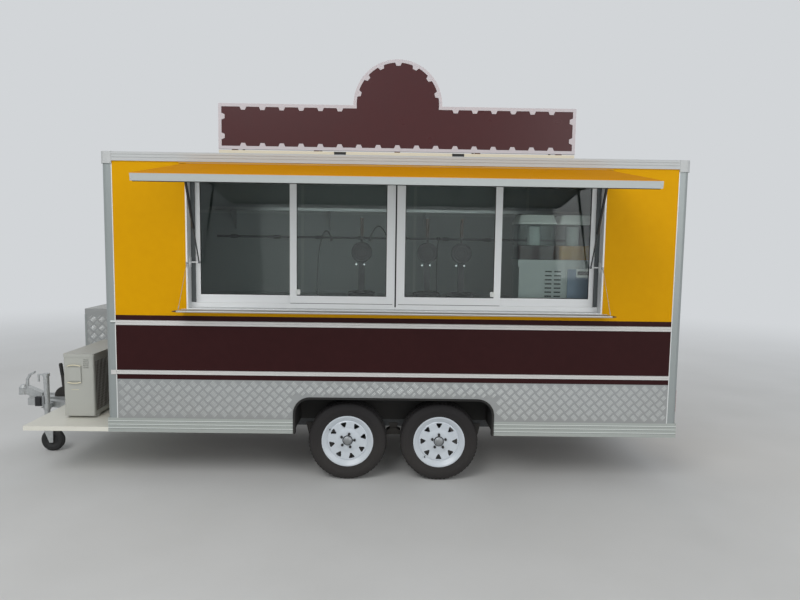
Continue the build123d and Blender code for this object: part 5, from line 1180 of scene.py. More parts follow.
@dataclass
class BodyTrim:
    """Edge strips of the posts, ridges of the sills, strips over the roof's joints and the skirts' rivets."""

    shell: Shell
    strip: float = 0.006
    proud: float = 0.0012
    rivet: float = 0.0045
    pitch: float = 0.245
    inset: float = 0.011
    roof_joints: int = 3
    joint_half: float = 0.022
    joint_thick: float = 0.0015
    bead: float = 0.0025
    belt_start: float = 0.040
    sill_grooves: tuple[float, ...] = (0.028, 0.056, 0.084)

    def build(self) -> None:
        """Make the edge strips, the sills' ridges, the roof's joints and the rivets."""
        self.edge_strips()
        self.sill_ridges()
        self.roof_seams()
        self.skirt_rivets()

    def skirt_rivets(self) -> None:
        """Rivet the skirts along their tops and feet, at both sides and the front."""
        s = self.shell
        low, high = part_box("tread_skirts")
        arch_low, arch_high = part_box("arch_trims")
        left, right = s.front + s.post + self.inset, s.rear - s.post - self.inset
        foot, top = low[2] + self.inset, high[2] - self.inset
        rivets = Form()
        for y, out in ((low[1], (0, -1, 0)), (high[1], (0, 1, 0))):
            self.rivet_row(rivets, (left, y, top), (right, y, top), out)
            for start, end in ((left, arch_low[0] - 2 * self.inset), (arch_high[0] + 2 * self.inset, right)):
                self.rivet_row(rivets, (start, y, foot), (end, y, foot), out)
        for z in (foot, top):
            self.rivet_row(rivets, (low[0], s.near + s.post, z), (low[0], s.far - s.post, z), (-1, 0, 0))
        rivets.done("skirt_rivets", ZINC, "tread_plate")

    def edge_strips(self) -> None:
        """Lay a slim bright strip beside each post, on both of its faces."""
        s = self.shell
        low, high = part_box("corner_posts")
        form = Form()
        for y, out in ((s.near, -1), (s.far, 1)):
            for x in (s.front + s.post - self.strip, s.rear - s.post):
                form.box((x, y, low[2]), (x + self.strip, y + out * self.proud, high[2]))
        for x, out in ((s.front, -1), (s.rear, 1)):
            for y in (s.near + s.post - self.strip, s.far - s.post):
                form.box((x, y, low[2]), (x + out * self.proud, y + self.strip, high[2]))
        form.done("post_edge_strips", POWDER_WHITE, "trim_aluminium", 0.3)

    def sill_ridges(self) -> None:
        """Lay the ridges along the sills, lighter as painted highlights, with a dark strip of painted shade below
        each, and the belt's end on the post with a strip of painted shadow below it.
        """
        s = self.shell
        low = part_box("sill_rails")[0]
        arch_low, arch_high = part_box("arch_trims")
        bright, dark = Form(), Form()
        for y, out in ((s.near, -1), (s.far, 1)):
            for start, end in ((s.front, arch_low[0]), (arch_high[0], s.rear)):
                for up in self.sill_grooves:
                    z = low[2] + up
                    # Pale strips are painted highlights on the ridges' tops; dark strips are painted shade in the
                    # grooves
                    bright.box((start, y + out * 0.0015, z + 0.003), (end, y - out * 0.0005, z + 0.009))
                    dark.box((start, y - out * 0.0008, z - 0.003), (end, y - out * 0.0028, z + 0.003))
        left, right, sunk = s.front + self.belt_start, s.front + s.post, s.near + 0.0003
        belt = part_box("belt_rails")[1][2]
        # The belt's pale end on the post, with a dark strip of painted shadow below it
        bright.box((left, s.near - 0.0035, belt - 0.019), (right, sunk, belt - 0.004))
        dark.box((left, s.near - 0.0015, belt - 0.026), (right, sunk, belt - 0.019))
        bright.done("sill_ridges", MILL_RIDGE_HIGHLIGHT, "post_aluminium", 0.4)
        dark.done("sill_groove_shade", SHADE_GREY, "post_aluminium")

    def roof_seams(self) -> None:
        """Lay the cover strips of the roof's joints, each with a bead of sealant along both edges."""
        low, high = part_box("roof_panel")
        half, top = self.joint_half, high[2]
        strips, sealant = Form(), Form()
        for step in range(1, self.roof_joints + 1):
            x = low[0] + (high[0] - low[0]) * step / (self.roof_joints + 1)
            strips.box((x - half, low[1] + 0.002, top), (x + half, high[1] - 0.002, top + self.joint_thick))
            for edge in (x - half, x + half):
                sealant.tube(((edge, low[1] + 0.01, top), (edge, high[1] - 0.01, top)), self.bead, 6)
        strips.done("roof_cover_strips", ROOF_WHITE, "roof_white", 0.5)
        sealant.done("roof_sealant", FOAM_PVC, "roof_white")

    def rivet_row(self, form: Form, start: Point, end: Point, out: Point) -> None:
        """Set a row of domed rivet heads.

        Args:
            form: The mesh that takes them.
            start: The first rivet's place.
            end: The last rivet's place.
            out: The way that the surface faces.
        """
        span = Vector(end) - Vector(start)
        count = max(round(span.length / self.pitch), 1)
        r = self.rivet
        dome = ((0, r * 0.5), (r * 0.6, r * 0.4), (r, 0.0), (0, -0.0004))
        for step in range(count + 1):
            form.lathe(dome, facing(Vector(start) + span * step / count, out), 10)


@dataclass
class Hatch:
    """What hangs on the raised hatch: its white lining, its seal, and the struts' glands and studs.

    Attributes:
        pin: Where the struts' upper pins stand, down from the hinge and in from the hatch's face.
        jamb_pin: Where their lower pins stand, in from the serving side and above the ground.
    """

    shell: Shell
    hinge_out: float = 0.009
    opened: float = math.radians(80.6)
    half: float = 1.600
    start: float = 0.010
    free_edge: float = 1.101
    bar: float = 0.040
    thick: float = 0.047
    pin: tuple[float, float] = (0.270, 0.065)
    jamb_pin: tuple[float, float] = (0.062, 1.745)
    strut_line: float = 1.536
    cylinder: float = 0.430
    band: float = 0.030
    gland_ring: Outline = (
        (0.0101, -0.012), (0.0112, -0.010), (0.0112, -0.002),
        (0.0085, 0.0015), (0.0058, 0.0015), (0.0058, -0.012),
    )
    band_ring: Outline = ((0.0101, 0), (0.0108, 0.001), (0.0108, 0.006), (0.0101, 0.007))
    stud: Outline = ((0, 0.011), (0.006, 0.011), (0.008, 0.0095), (0.008, 0.0066), (0, 0.0066))

    def place(self) -> Matrix:
        """Work out the hatch's own place: X along it, Y up its face to the hinge, Z out of its face.

        Returns:
            The place as a matrix.
        """
        rise, lean = math.sin(self.opened), math.cos(self.opened)
        x, y, z = Vector((1, 0, 0)), Vector((0, rise, lean)), Vector((0, -lean, rise))
        origin = Vector((self.shell.middle, self.shell.near - self.hinge_out, HINGE_HEIGHT))
        return Matrix.Translation(origin) @ Matrix((x, y, z)).transposed().to_4x4()

    def build(self) -> None:
        """Make the lining between the bars, the seal round the inner face and the struts' trim."""
        place = self.place()
        lining, seal = Form(), Form()
        edge = self.half - self.bar - 0.001
        third = (self.half / 3 - self.bar / 2 - 0.001, self.half / 3 + self.bar / 2 + 0.001)
        back, front = -(self.free_edge - self.bar - 0.001), -(self.start + self.bar + 0.001)
        for left, right in ((-edge, -third[1]), (-third[0], third[0]), (third[1], edge)):
            lining.box((left, back, -self.thick + 0.006), (right, front, -self.thick + 0.008), place)
        lining.done("hatch_lining", POWDER_WHITE, "window_white", 0.5, body="hatch")
        side, low, high = self.half - 0.012, -self.free_edge + 0.012, -self.start - 0.014
        corners = ((-side, high), (side, high), (side, low), (-side, low))
        seal.tube([place @ Vector((x, y, -self.thick - 0.0022)) for x, y in corners], 0.0036, 8, closed=True)
        seal.done("hatch_seal", RUBBER, "strut_black", body="hatch")
        self.strut_trim(place)

    def strut_trim(self, place: Matrix) -> None:
        """Make each strut's gland and band, and its stud heads on the hatch and on the jamb.

        Args:
            place: The hatch's own place.
        """
        for side, way in (("left", -1), ("right", 1)):
            x = way * self.strut_line
            top = place @ Vector((x, -self.pin[0], -self.pin[1]))
            foot = Vector((self.shell.middle + x, self.shell.near + self.jamb_pin[0], self.jamb_pin[1]))
            run = facing(top, foot - top, (1, 0, 0))
            gland = Form()
            gland.lathe(self.gland_ring, run @ at(0, 0, self.cylinder), 24)
            gland.lathe(self.band_ring, run @ at(0, 0, self.band), 24)
            gland.done(f"strut_gland_{side}", BLACK_PAINT, "strut_black", body=f"strut_cylinder_{side}")
            for end, spot, body in (("strut", top, "hatch"), ("jamb", foot, "trailer")):
                head = Form()
                head.lathe(self.stud, facing(spot, (-way, 0, 0)), 18)
                head.done(f"{end}_stud_{side}", ZINC, "trim_aluminium", body=body)


@dataclass
class ServiceShelf:
    """The shelf's end caps, its lip and the two thin wires that hold it level."""

    shell: Shell
    wire: float = 0.0016
    jamb_height: float = 1.742
    cap: float = 0.036
    steps: int = 28
    ferrule: Outline = ((0, 0), (0.0032, 0), (0.0032, 0.024), (0, 0.024))
    disc: Outline = ((0, 0.0065), (0.0045, 0.0065), (0.0095, 0.004), (0.0105, 0.0), (0, -0.0006))

    def build(self) -> None:
        """Make the end caps, the bright lip and the wires."""
        low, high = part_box("service_shelf")
        caps = Form()
        for x, out in ((low[0], -1), (high[0], 1)):
            self.end_cap(caps, (x + out * 0.0003, low[1], low[2]), out, high)
        caps.done("shelf_end_caps", CAP_BROWN, "brown_film", 1.0, body="shelf")
        lip = Form()
        lip.box((low[0], low[1] - 0.0012, high[2] - 0.0042), (high[0], low[1] + 0.0001, high[2] + 0.0003))
        lip.done("shelf_lip", POWDER_WHITE, "trim_aluminium", 0.4, body="shelf")
        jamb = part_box("opening_frame")
        for way, side in ((-1, "left"), (1, "right")):
            edge = jamb[0][0] if way < 0 else jamb[1][0]
            top = Vector((edge - way * 0.05, self.shell.near - 0.0045, self.jamb_height))
            end = low[0] if way < 0 else high[0]
            foot = Vector((end - way * 0.012, low[1] + 0.012, high[2] + 0.003))
            self.wire_stay(side, top, foot)

    def end_cap(self, form: Form, root: Point, out: int, high: Point) -> None:
        """Add a moulded cap that runs to a blunt point at the shelf's outer corner.

        Args:
            form: The mesh that takes it.
            root: Its low corner on the shelf's end.
            out: Which way along X it points.
            high: The shelf's highest corner.
        """
        x, y, z = root
        tip = x + out * self.cap
        deep, thick = y + 0.080, high[2] - z
        points = (
            (x, y + 0.001, z + 0.0005),
            (x, deep, z + 0.0005),
            (x, deep, z + thick - 0.0005),
            (x, y + 0.001, z + thick - 0.0005),
            (tip, y + 0.012, z + thick * 0.35),
            (tip, y + 0.030, z + thick * 0.35),
            (tip, y + 0.030, z + thick * 0.75),
            (tip, y + 0.012, z + thick * 0.75),
        )
        loops = ((3, 2, 1, 0), (4, 5, 6, 7), (0, 1, 5, 4), (1, 2, 6, 5), (2, 3, 7, 6), (3, 0, 4, 7))
        form.faces(points, loops)

    def wire_stay(self, side: str, top: Vector, foot: Vector) -> None:
        """Run one wire from the wall to the shelf's end, with a ferrule and a disc at each end.

        Args:
            side: The end of the trailer that it is nearer to.
            top: Its place on the wall.
            foot: Its place on the shelf.
        """
        rope, anchor, eye = Form(), Form(), Form()
        rope.tube([top.lerp(foot, step / self.steps) for step in range(self.steps + 1)], self.wire, 8)
        run = facing(top, foot - top, (1, 0, 0))
        for start in (0.012, (foot - top).length - 0.036):
            rope.lathe(self.ferrule, run @ at(0, 0, start), 12)
        piece = rope.done(f"shelf_stay_{side}", ZINC, "trim_aluminium", body=None)
        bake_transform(piece)
        anchor.lathe(self.disc, facing(top + Vector((0, 0.0045, 0)), (0, -1, 0)), 20)
        anchor.done(f"stay_anchor_{side}", ZINC, "trim_aluminium")
        eye.lathe(self.disc, facing((foot.x, foot.y, foot.z - 0.003), (0, 0, 1)), 20)
        eye.done(f"stay_foot_{side}", ZINC, "trim_aluminium", body="shelf")


@dataclass
class RoofSign:
    """The sign's brace frame behind its board, the cream strip along its foot and two black blocks on the strip,
    painted shade of its two slots.
    """

    shell: Shell
    tube: float = 0.025
    lean: float = 0.30
    feet: tuple[float, ...] = (-1.25, -0.62, 0.0, 0.62, 1.25)
    strip: float = 0.029
    blocks: tuple[float, ...] = (-0.44, 0.47)

    def build(self) -> None:
        """Make the frame with its feet, the strip and the blocks."""
        low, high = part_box("sign_panel")
        board_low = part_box("sign_border")[0][2]
        t, roof, middle = self.tube, self.shell.top, self.shell.middle
        front, near, far = high[1] + 0.0003, high[1] + t, high[1] + 2 * t
        rails = (board_low + 0.03, board_low + 0.285)
        frame, base, blocks = Form(), Form(), Form()
        for z in rails:
            frame.box((low[0] + 0.05, front, z), (high[0] - 0.05, near, z + t))
        for x in (middle + u for u in self.feet):
            frame.box((x - t / 2, near, roof), (x + t / 2, far, rails[1] + 2 * t))
            foot = far + self.lean
            frame.tube(((x, far, rails[1] + t), (x, foot, roof + 0.008)), t * 0.4, 8)
            frame.box((x - 0.03, foot - 0.03, roof), (x + 0.03, foot + 0.04, roof + 0.005))
            frame.box((x - 0.035, near - 0.02, roof), (x + 0.035, far + 0.03, roof + 0.005))
        frame.box((middle - t / 2, front, rails[1] + t), (middle + t / 2, near, high[2] - 0.08))
        frame.done("sign_brace_frame", DARK_STEEL, "post_aluminium", 1.2)
        y, z = low[1] - 0.010, roof + 0.0006
        base.box((low[0] + 0.004, y, z), (high[0] - 0.004, low[1] - 0.0008, z + self.strip))
        base.done("sign_base_strip", CREAM_TRIM, "deck_cream", 0.8)
        # Two black blocks where the strip shows two dark slots: painted shade of the slots
        for x in (middle + u for u in self.blocks):
            blocks.box((x - 0.046, y - 0.003, z), (x + 0.046, y - 0.0003, z + self.strip - 0.002))
        blocks.done("sign_strip_slot_shade", RUBBER, "strut_black", 0.8)


@dataclass
class WaffleIrons:
    """Wooden grips, plate rims, feet and knobs of the waffle irons, and the small lamps' goosenecks.

    Attributes:
        places: Each iron's middle along the counter, from the trailer's middle.
        beads: The radii of the ridges on each plate.
        arms: Each gooseneck's path, as its place along the counter and its height.
        shades: Whether each gooseneck's shade faces down or up.
    """

    shell: Shell
    places: tuple[float, ...] = (-0.283, 0.264, 0.549)
    height: float = 1.835
    radius: float = 0.084
    grip: float = 0.0105
    grip_low: float = 1.965
    grip_high: float = 2.118
    stand_top: float = 1.500
    foot_reach: float = 0.085
    beads: tuple[float, ...] = (0.030, 0.052)
    rim: Outline = ((0.070, 0.0), (0.073, 0.004), (0.081, 0.004), (0.0852, -0.002), (0.064, -0.002))
    dial: Outline = ((0, 0.020), (0.012, 0.020), (0.0145, 0.017), (0.0155, -0.01), (0, -0.01))
    knob: Outline = ((0, 0.012), (0.007, 0.011), (0.010, 0.006), (0.008, -0.004), (0, -0.004))
    foot: Outline = ((0, 0), (0.014, 0), (0.012, 0.004), (0, 0.004))
    shade: Outline = ((0, -0.010), (0.007, -0.010), (0.0125, 0.012), (0.0125, 0.024), (0, 0.024))
    arm_foot: Outline = ((0, 0), (0.028, 0), (0.028, 0.006), (0.008, 0.012), (0, 0.012))
    arms: tuple[Outline, ...] = (
        ((-0.064, 1.35), (-0.064, 1.72), (-0.066, 1.93), (-0.115, 2.035), (-0.165, 2.045), (-0.218, 1.955)),
        ((-0.66, 1.35), (-0.655, 1.70), (-0.635, 1.90), (-0.600, 2.00), (-0.565, 1.995), (-0.543, 1.945)),
        ((0.352, 1.35), (0.352, 1.55), (0.350, 1.76), (0.352, 1.88), (0.356, 1.93), (0.358, 1.945)),
    )
    shades: tuple[int, ...] = (-1, -1, 1)

    def build(self) -> None:
        """Dress each iron on its stand."""
        depth = middle_of("waffle_irons").y
        handle = [(1.25 * x, y) for x, y in round_points(self.grip, 16)]
        corners = (-self.foot_reach, self.foot_reach)
        grips, rims, knobs = Form(), Form(), Form()
        for x in (self.shell.middle + place for place in self.places):
            for way in (-1, 1):
                spot = at(x, depth + way * 0.0100, self.grip_low)
                grips.prism(handle, spot, self.grip_high - self.grip_low)
                flat = facing((x, depth + way * 0.018, self.height), (0, way, 0))
                rims.lathe(self.rim, flat, 48)
                for r in self.beads:
                    rims.lathe(((r, 0), (r + 0.003, 0.0022), (r + 0.006, 0), (r + 0.003, -0.001)), flat, 40)
            for along in (-0.043, 0.022):
                low = (x + along, depth - 0.105, self.stand_top - 0.045)
                knobs.lathe(self.dial, facing(low, (0, -1, 0)), 24)
                high = (x + along, depth - 0.021, self.height - self.radius - 0.018)
                knobs.lathe(self.knob, facing(high, (0, -1, 0)), 20)
            for foot_x in corners:
                for foot_y in corners:
                    rims.lathe(self.foot, at(x + foot_x, depth + foot_y, self.stand_top - 0.15), 12)
        grips.done("iron_grips", BEECH, "iron_black", 1.5)
        rims.done("iron_plate_rims", CAST_IRON, "iron_black")
        knobs.done("iron_knobs", CHROME, "galley_steel")
        self.goosenecks(depth + 0.06)

    def goosenecks(self, y: float) -> None:
        """Bend the black arms of the counter's small lamps, each from its foot up to its shade.

        Args:
            y: Where they stand across the trailer.
        """
        necks = Form()
        for arm, up in zip(self.arms, self.shades):
            points = [Vector((self.shell.middle + x, y, z)) for x, z in arm]
            necks.tube(smooth_path(points, 8), 0.0048, 8)
            necks.lathe(self.shade, facing(points[-1], (0, 0, up), (0, 1, 0)), 16)
            necks.lathe(self.arm_foot, Matrix.Translation(points[0]), 24)
        necks.done("galley_goosenecks", ABS_BLACK, "iron_black")


def smooth_path(points: Sequence[Vector], steps: int) -> list[Vector]:
    """Run a smooth curve through points.

    Args:
        points: The points that it passes.
        steps: How many stretches lie between two of them.

    Returns:
        The curve's points.
    """
    path = []
    for i in range(len(points) - 1):
        before, start, end = points[max(i - 1, 0)], points[i], points[i + 1]
        after = points[min(i + 2, len(points) - 1)]
        for step in range(steps):
            t = step / steps
            bend = (2 * before - 5 * start + 4 * end - after) * t**2
            twist = (3 * start - before - 3 * end + after) * t**3
            path.append(0.5 * (2 * start + (end - before) * t + bend + twist))
    return [*path, points[-1].copy()]


@dataclass
class DrinksDispenser:
    """The two tanks of the counter's dispenser, with its taps, grille, vents and control panel.

    Attributes:
        tanks: Each tank's left edge, from the base's own, and its width.
        bowl: The height of the tinted bowl inside its clear wall.
        lid_steps: How far the lid steps in at each height, up to its flat top.
    """

    tap_drop: float = 0.075
    grille_bars: int = 14
    vent_rows: int = 9
    tanks: tuple[tuple[float, float], ...] = ((-0.010, 0.327), (0.330, 0.290))
    wall: float = 0.004
    lid: float = 0.080
    bowl: float = 0.115
    collar: Outline = ((0, 0.03), (0.016, 0.03), (0.018, 0.02), (0.018, 0), (0, 0))
    lid_steps: Outline = ((0.0, 0.0), (0.0, 0.016), (0.008, 0.018), (0.022, 0.066), (0.030, 0.076))

    def build(self) -> None:
        """Make the tanks in place of their plain solids, and the small parts of the base."""
        low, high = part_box("dispenser_base")
        left, back, z = low[0], high[1], high[2] - 0.035
        self.make_tanks(left, *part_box("dispenser_tanks"))
        taps, grille = Form(), Form()
        for start, width in self.tanks:
            x = left + start + width / 2
            taps.lathe(self.collar, facing((x, back, z), (0, 1, 0)), 20)
            taps.box((x - 0.009, back + 0.016, z - self.tap_drop), (x + 0.009, back + 0.034, z + 0.03))
            taps.box((x - 0.014, back + 0.012, z + 0.022), (x + 0.014, back + 0.040, z + 0.034))
        tray = low[2] + 0.03
        for step in range(self.grille_bars):
            x = left + 0.03 + step * (high[0] - left - 0.084) / (self.grille_bars - 1)
            grille.box((x - 0.003, low[1] + 0.008, tray), (x + 0.003, low[1] + 0.086, tray + 0.003))
        taps.done("dispenser_taps", ABS_BLACK, "iron_black", 1.5)
        grille.done("dispenser_drip_grille", STAINLESS, "galley_steel", 0.4)
        self.make_front(low, high)

    def make_front(self, low: Vector, high: Vector) -> None:
        """Make the control panel with its display, and the rows of vents beside it.

        Args:
            low: The base's lowest corner.
            high: Its highest corner.
        """
        right, front, top = high[0], low[1] + 0.090, high[2] - 0.075
        panel, bezel, window, vents = Form(), Form(), Form(), Form()
        panel.box((right - 0.235, front - 0.0045, low[2] + 0.07), (right - 0.03, front + 0.0005, top))
        x, z = right - 0.105, top - 0.030
        bezel.box((x - 0.060, front - 0.0075, z - 0.034), (x + 0.060, front - 0.0047, z + 0.034))
        window.box((x - 0.050, front - 0.0085, z - 0.016), (x + 0.050, front - 0.0077, z + 0.016))
        for row in range(self.vent_rows):
            z = low[2] + 0.075 + row * (top - low[2] - 0.10) / (self.vent_rows - 1)
            for x in (low[0] + 0.225, low[0] + 0.300):
                vents.box((x, front - 0.002, z), (x + 0.055, front + 0.0005, z + 0.011))
        panel.done("dispenser_control_panel", PANEL_BLUE, "dispenser_grey", 1.5)
        bezel.done("dispenser_bezel", ABS_WHITE, "dispenser_grey", 1.0)
        window.done("dispenser_display", ABS_BLACK, "iron_black", 0.3)
        vents.done("dispenser_vents", ABS_BLACK, "iron_black", 0.6)

    def make_tanks(self, left: float, low: Vector, high: Vector) -> None:
        """Make each tank: its clear wall, its tinted bowl, its cooling column and its white lid.

        Args:
            left: The base's left edge.
            low: The tanks' lowest corner.
            high: Their highest corner.
        """
        walls, lids, column = Form(), Form(), Form()
        deep, top = (high[1] - low[1]) / 2, high[2] - low[2] - self.lid
        tall = top - self.bowl - 0.02
        for (start, width), tint, name in zip(self.tanks, (ACRYLIC_DARK, ACRYLIC_YELLOW), ("dark", "amber")):
            half = width / 2 - 0.001
            place = at(left + start + width / 2, low[1] + deep, low[2])
            outer = rounded_outline(half - 0.006, deep - 0.006, 0.030)
            inner = rounded_outline(half - 0.006 - self.wall, deep - 0.006 - self.wall, 0.026)
            walls.sleeve(outer, inner, place, top - 0.0005)
            bowl = Form()
            core = rounded_outline(half - 0.012, deep - 0.012, 0.024)
            bowl.prism(core, place @ at(0, 0, 0.001), self.bowl)
            bowl.done(f"tank_bowl_{name}", tint, "tank_yellow", 3.0)
            stand = place @ at(0, 0, self.bowl + 0.0015)
            column.lathe(((0, 0), (0.052, 0), (0.050, tall), (0, tall)), stand, 32)
            rings = [rounded_outline(half - inset, deep - inset, 0.032) for inset, _ in self.lid_steps]
            lids.stack(rings, [top + z for _, z in self.lid_steps], place)
        node = walls.done("dispenser_tank_walls", ACRYLIC_CLEAR, "tank_yellow")
        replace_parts(node, "dispenser_tanks")
        column.done("dispenser_cooling_columns", ABS_WHITE, "dispenser_grey")
        lids.done("dispenser_tank_lids", ABS_WHITE, "dispenser_grey", 1.5)


def rounded_outline(half_x: float, half_y: float, radius: float, steps: int = 6) -> Outline:
    """Outline a rectangle with round corners.

    Args:
        half_x: Half its length.
        half_y: Half its width.
        radius: The corners' radius.
        steps: How many flats make each corner.

    Returns:
        Its points, anticlockwise.
    """
    points = []
    for i, (sx, sy) in enumerate(((1, 1), (-1, 1), (-1, -1), (1, -1))):
        for step in range(steps + 1):
            turn = math.radians(90 * i + 90 * step / steps)
            x = sx * (half_x - radius) + radius * math.cos(turn)
            points.append((x, sy * (half_y - radius) + radius * math.sin(turn)))
    return points


@dataclass
class CabinFittings:
    """Brackets and bright lip of the overhead shelf, and the socket rail on the far wall."""

    bracket: Outline = ((0, 0), (-0.28, 0), (-0.28, -0.012), (-0.02, -0.20), (0, -0.20))
    bracket_pitch: float = 1.0
    socket_pitch: float = 0.45
    shelf_deep: float = 0.33
    shelf_thick: float = 0.018
    rail_height: float = 1.955

    def build(self) -> None:
        """Make the brackets, the lip and the rail with its sockets."""
        low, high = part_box("worktops")
        left, right, wall, top = low[0], high[0], high[1], high[2]
        brackets, lip, rail = Form(), Form(), Form()
        x = left + 0.2
        while x < right - 0.1:
            spot = (x, wall - 0.0035, top - self.shelf_thick - 0.0003)
            brackets.prism(self.bracket, facing(spot, (1, 0, 0)), 0.004)
            x += self.bracket_pitch
        front = wall - self.shelf_deep
        lip.box((left, front - 0.0015, top - 0.024), (right, front - 0.0002, top + 0.006))
        z = self.rail_height
        rail.box((left, wall - 0.030, z - 0.011), (right, wall - 0.004, z + 0.011))
        x = left + 0.15
        while x < right - 0.15:
            rail.box((x, wall - 0.036, z - 0.020), (x + 0.07, wall - 0.004, z + 0.020))
            x += self.socket_pitch
        brackets.done("shelf_brackets", ZINC, "galley_steel", 0.5)
        lip.done("overhead_shelf_lip", STAINLESS, "galley_steel", 0.3)
        rail.done("socket_rail", ABS_BLACK, "iron_black", 1.0)


@dataclass
class AirConditioner:
    """The outdoor unit's grips, coil, screws and the wires of its fan guard.

    Attributes:
        cover: The valve cover's start, width, foot and height on the case's near side.
    """

    cover: tuple[float, float, float, float] = (0.038, 0.108, 0.286, 0.128)
    cover_proud: float = 0.012
    sheet: float = 0.003
    coil_frame: float = 0.036
    coil_pitch: float = 0.022
    lid: float = 0.028
    wire: float = 0.0022
    rings: int = 9
    spokes: int = 12
    hub: float = 0.03
    bow: float = 0.012
    hub_plate: Outline = ((0, 0), (0.034, 0), (0.034, 0.004), (0.022, 0.008), (0, 0.008))
    screw: Outline = ((0, 0.002), (0.0035, 0.0015), (0.0045, 0), (0, -0.0004))

    def build(self) -> None:
        """Dress the case on each of its sides."""
        low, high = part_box("ac_case")
        case_low = Vector((low[0] + self.sheet, low[1] + self.cover_proud, low[2] + 0.020))
        case_high = Vector((high[0] - self.sheet, high[1] - self.sheet, high[2]))
        self.cover_grips(case_low)
        self.coil(case_low, case_high)
        self.guard_wires()
        middle = middle_of("ac_case").y
        screws = Form()
        for x, way, across in (
            (case_low.x, -1, (case_low.y + 0.02, middle, case_high.y - 0.02)),
            (case_high.x, 1, (case_low.y + 0.02, case_high.y - 0.02)),
        ):
            for y in across:
                screws.lathe(self.screw, facing((x, y, case_high.z - self.lid - 0.008), (way, 0, 0)), 10)
        screws.done("ac_screws", ZINC, "ac_white")

    def cover_grips(self, low: Vector) -> None:
        """Bend the bowed grips over and under the valve cover, and add the small catch below them.

        Args:
            low: The case's lowest corner.
        """
        along, width, up, tall = self.cover
        grips = Form()
        for z, bow in ((low.z + up + tall + 0.002, 0.010), (low.z + up - 0.004, -0.006)):
            points = []
            for t in (step / 16 for step in range(17)):
                swell = math.sin(math.pi * t)
                y = low.y - self.cover_proud - 0.006 * swell
                points.append((low.x + along + width * t, y, z + bow * swell))
            grips.tube(points, 0.0042, 8)
        x, z = low.x + along, low.z + 0.219
        grips.box((x + 0.025, low.y - 0.002, z - 0.0015), (x + 0.085, low.y + 0.0005, z + 0.0015))
        grips.done("ac_cover_grips", CREAM_GRIP, "ac_white")

    def coil(self, low: Vector, high: Vector) -> None:
        """Lay the coil's sheet of fins and its pipes in the window of the case's rear end.

        Args:
            low: The case's lowest corner.
            high: Its highest corner.
        """
        edge = self.coil_frame + 0.001
        left, right, foot, top = low.y + edge, high.y - edge, low.z + edge, high.z - self.lid - edge
        face = high.x
        form = Form()
        form.box((face - 0.0058, left, foot), (face - 0.0045, right, top))
        for step in range(1, int((top - foot) / self.coil_pitch)):
            z = foot + step * self.coil_pitch
            form.tube(((face - 0.0035, left, z), (face - 0.0035, right, z)), self.wire, 6)
        form.done("ac_coil", COIL_BROWN, "ac_white")

    def guard_wires(self) -> None:
        """Lay fine round wires between the guard's rings, bowed a little outwards."""
        low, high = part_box("ac_guard")
        _, across, up = (low + high) / 2
        radius = (high[2] - low[2]) / 2 - 0.004
        span = radius - self.hub
        wires = Form()
        for ring in range(self.rings):
            r = self.hub + span * (ring + 0.5) / self.rings
            x = low[0] - 0.0015 - self.bow * (1 - (r / radius) ** 2)
            wires.tube([(x, across + y, up + z) for y, z in round_points(r, 40)], self.wire, 6, closed=True)
        for spoke in range(self.spokes):
            turn = math.tau * (spoke + 0.5) / self.spokes
            points = []
            for r in (self.hub + span * step / 8 for step in range(9)):
                x = low[0] - 0.0045 - self.bow * (1 - (r / radius) ** 2)
                points.append((x, across + r * math.cos(turn), up + r * math.sin(turn)))
            wires.tube(points, self.wire, 6)
        wires.lathe(self.hub_plate, facing((low[0] - 0.014, across, up), (-1, 0, 0)), 32)
        wires.done("ac_guard_wires", ABS_WHITE, "ac_white")


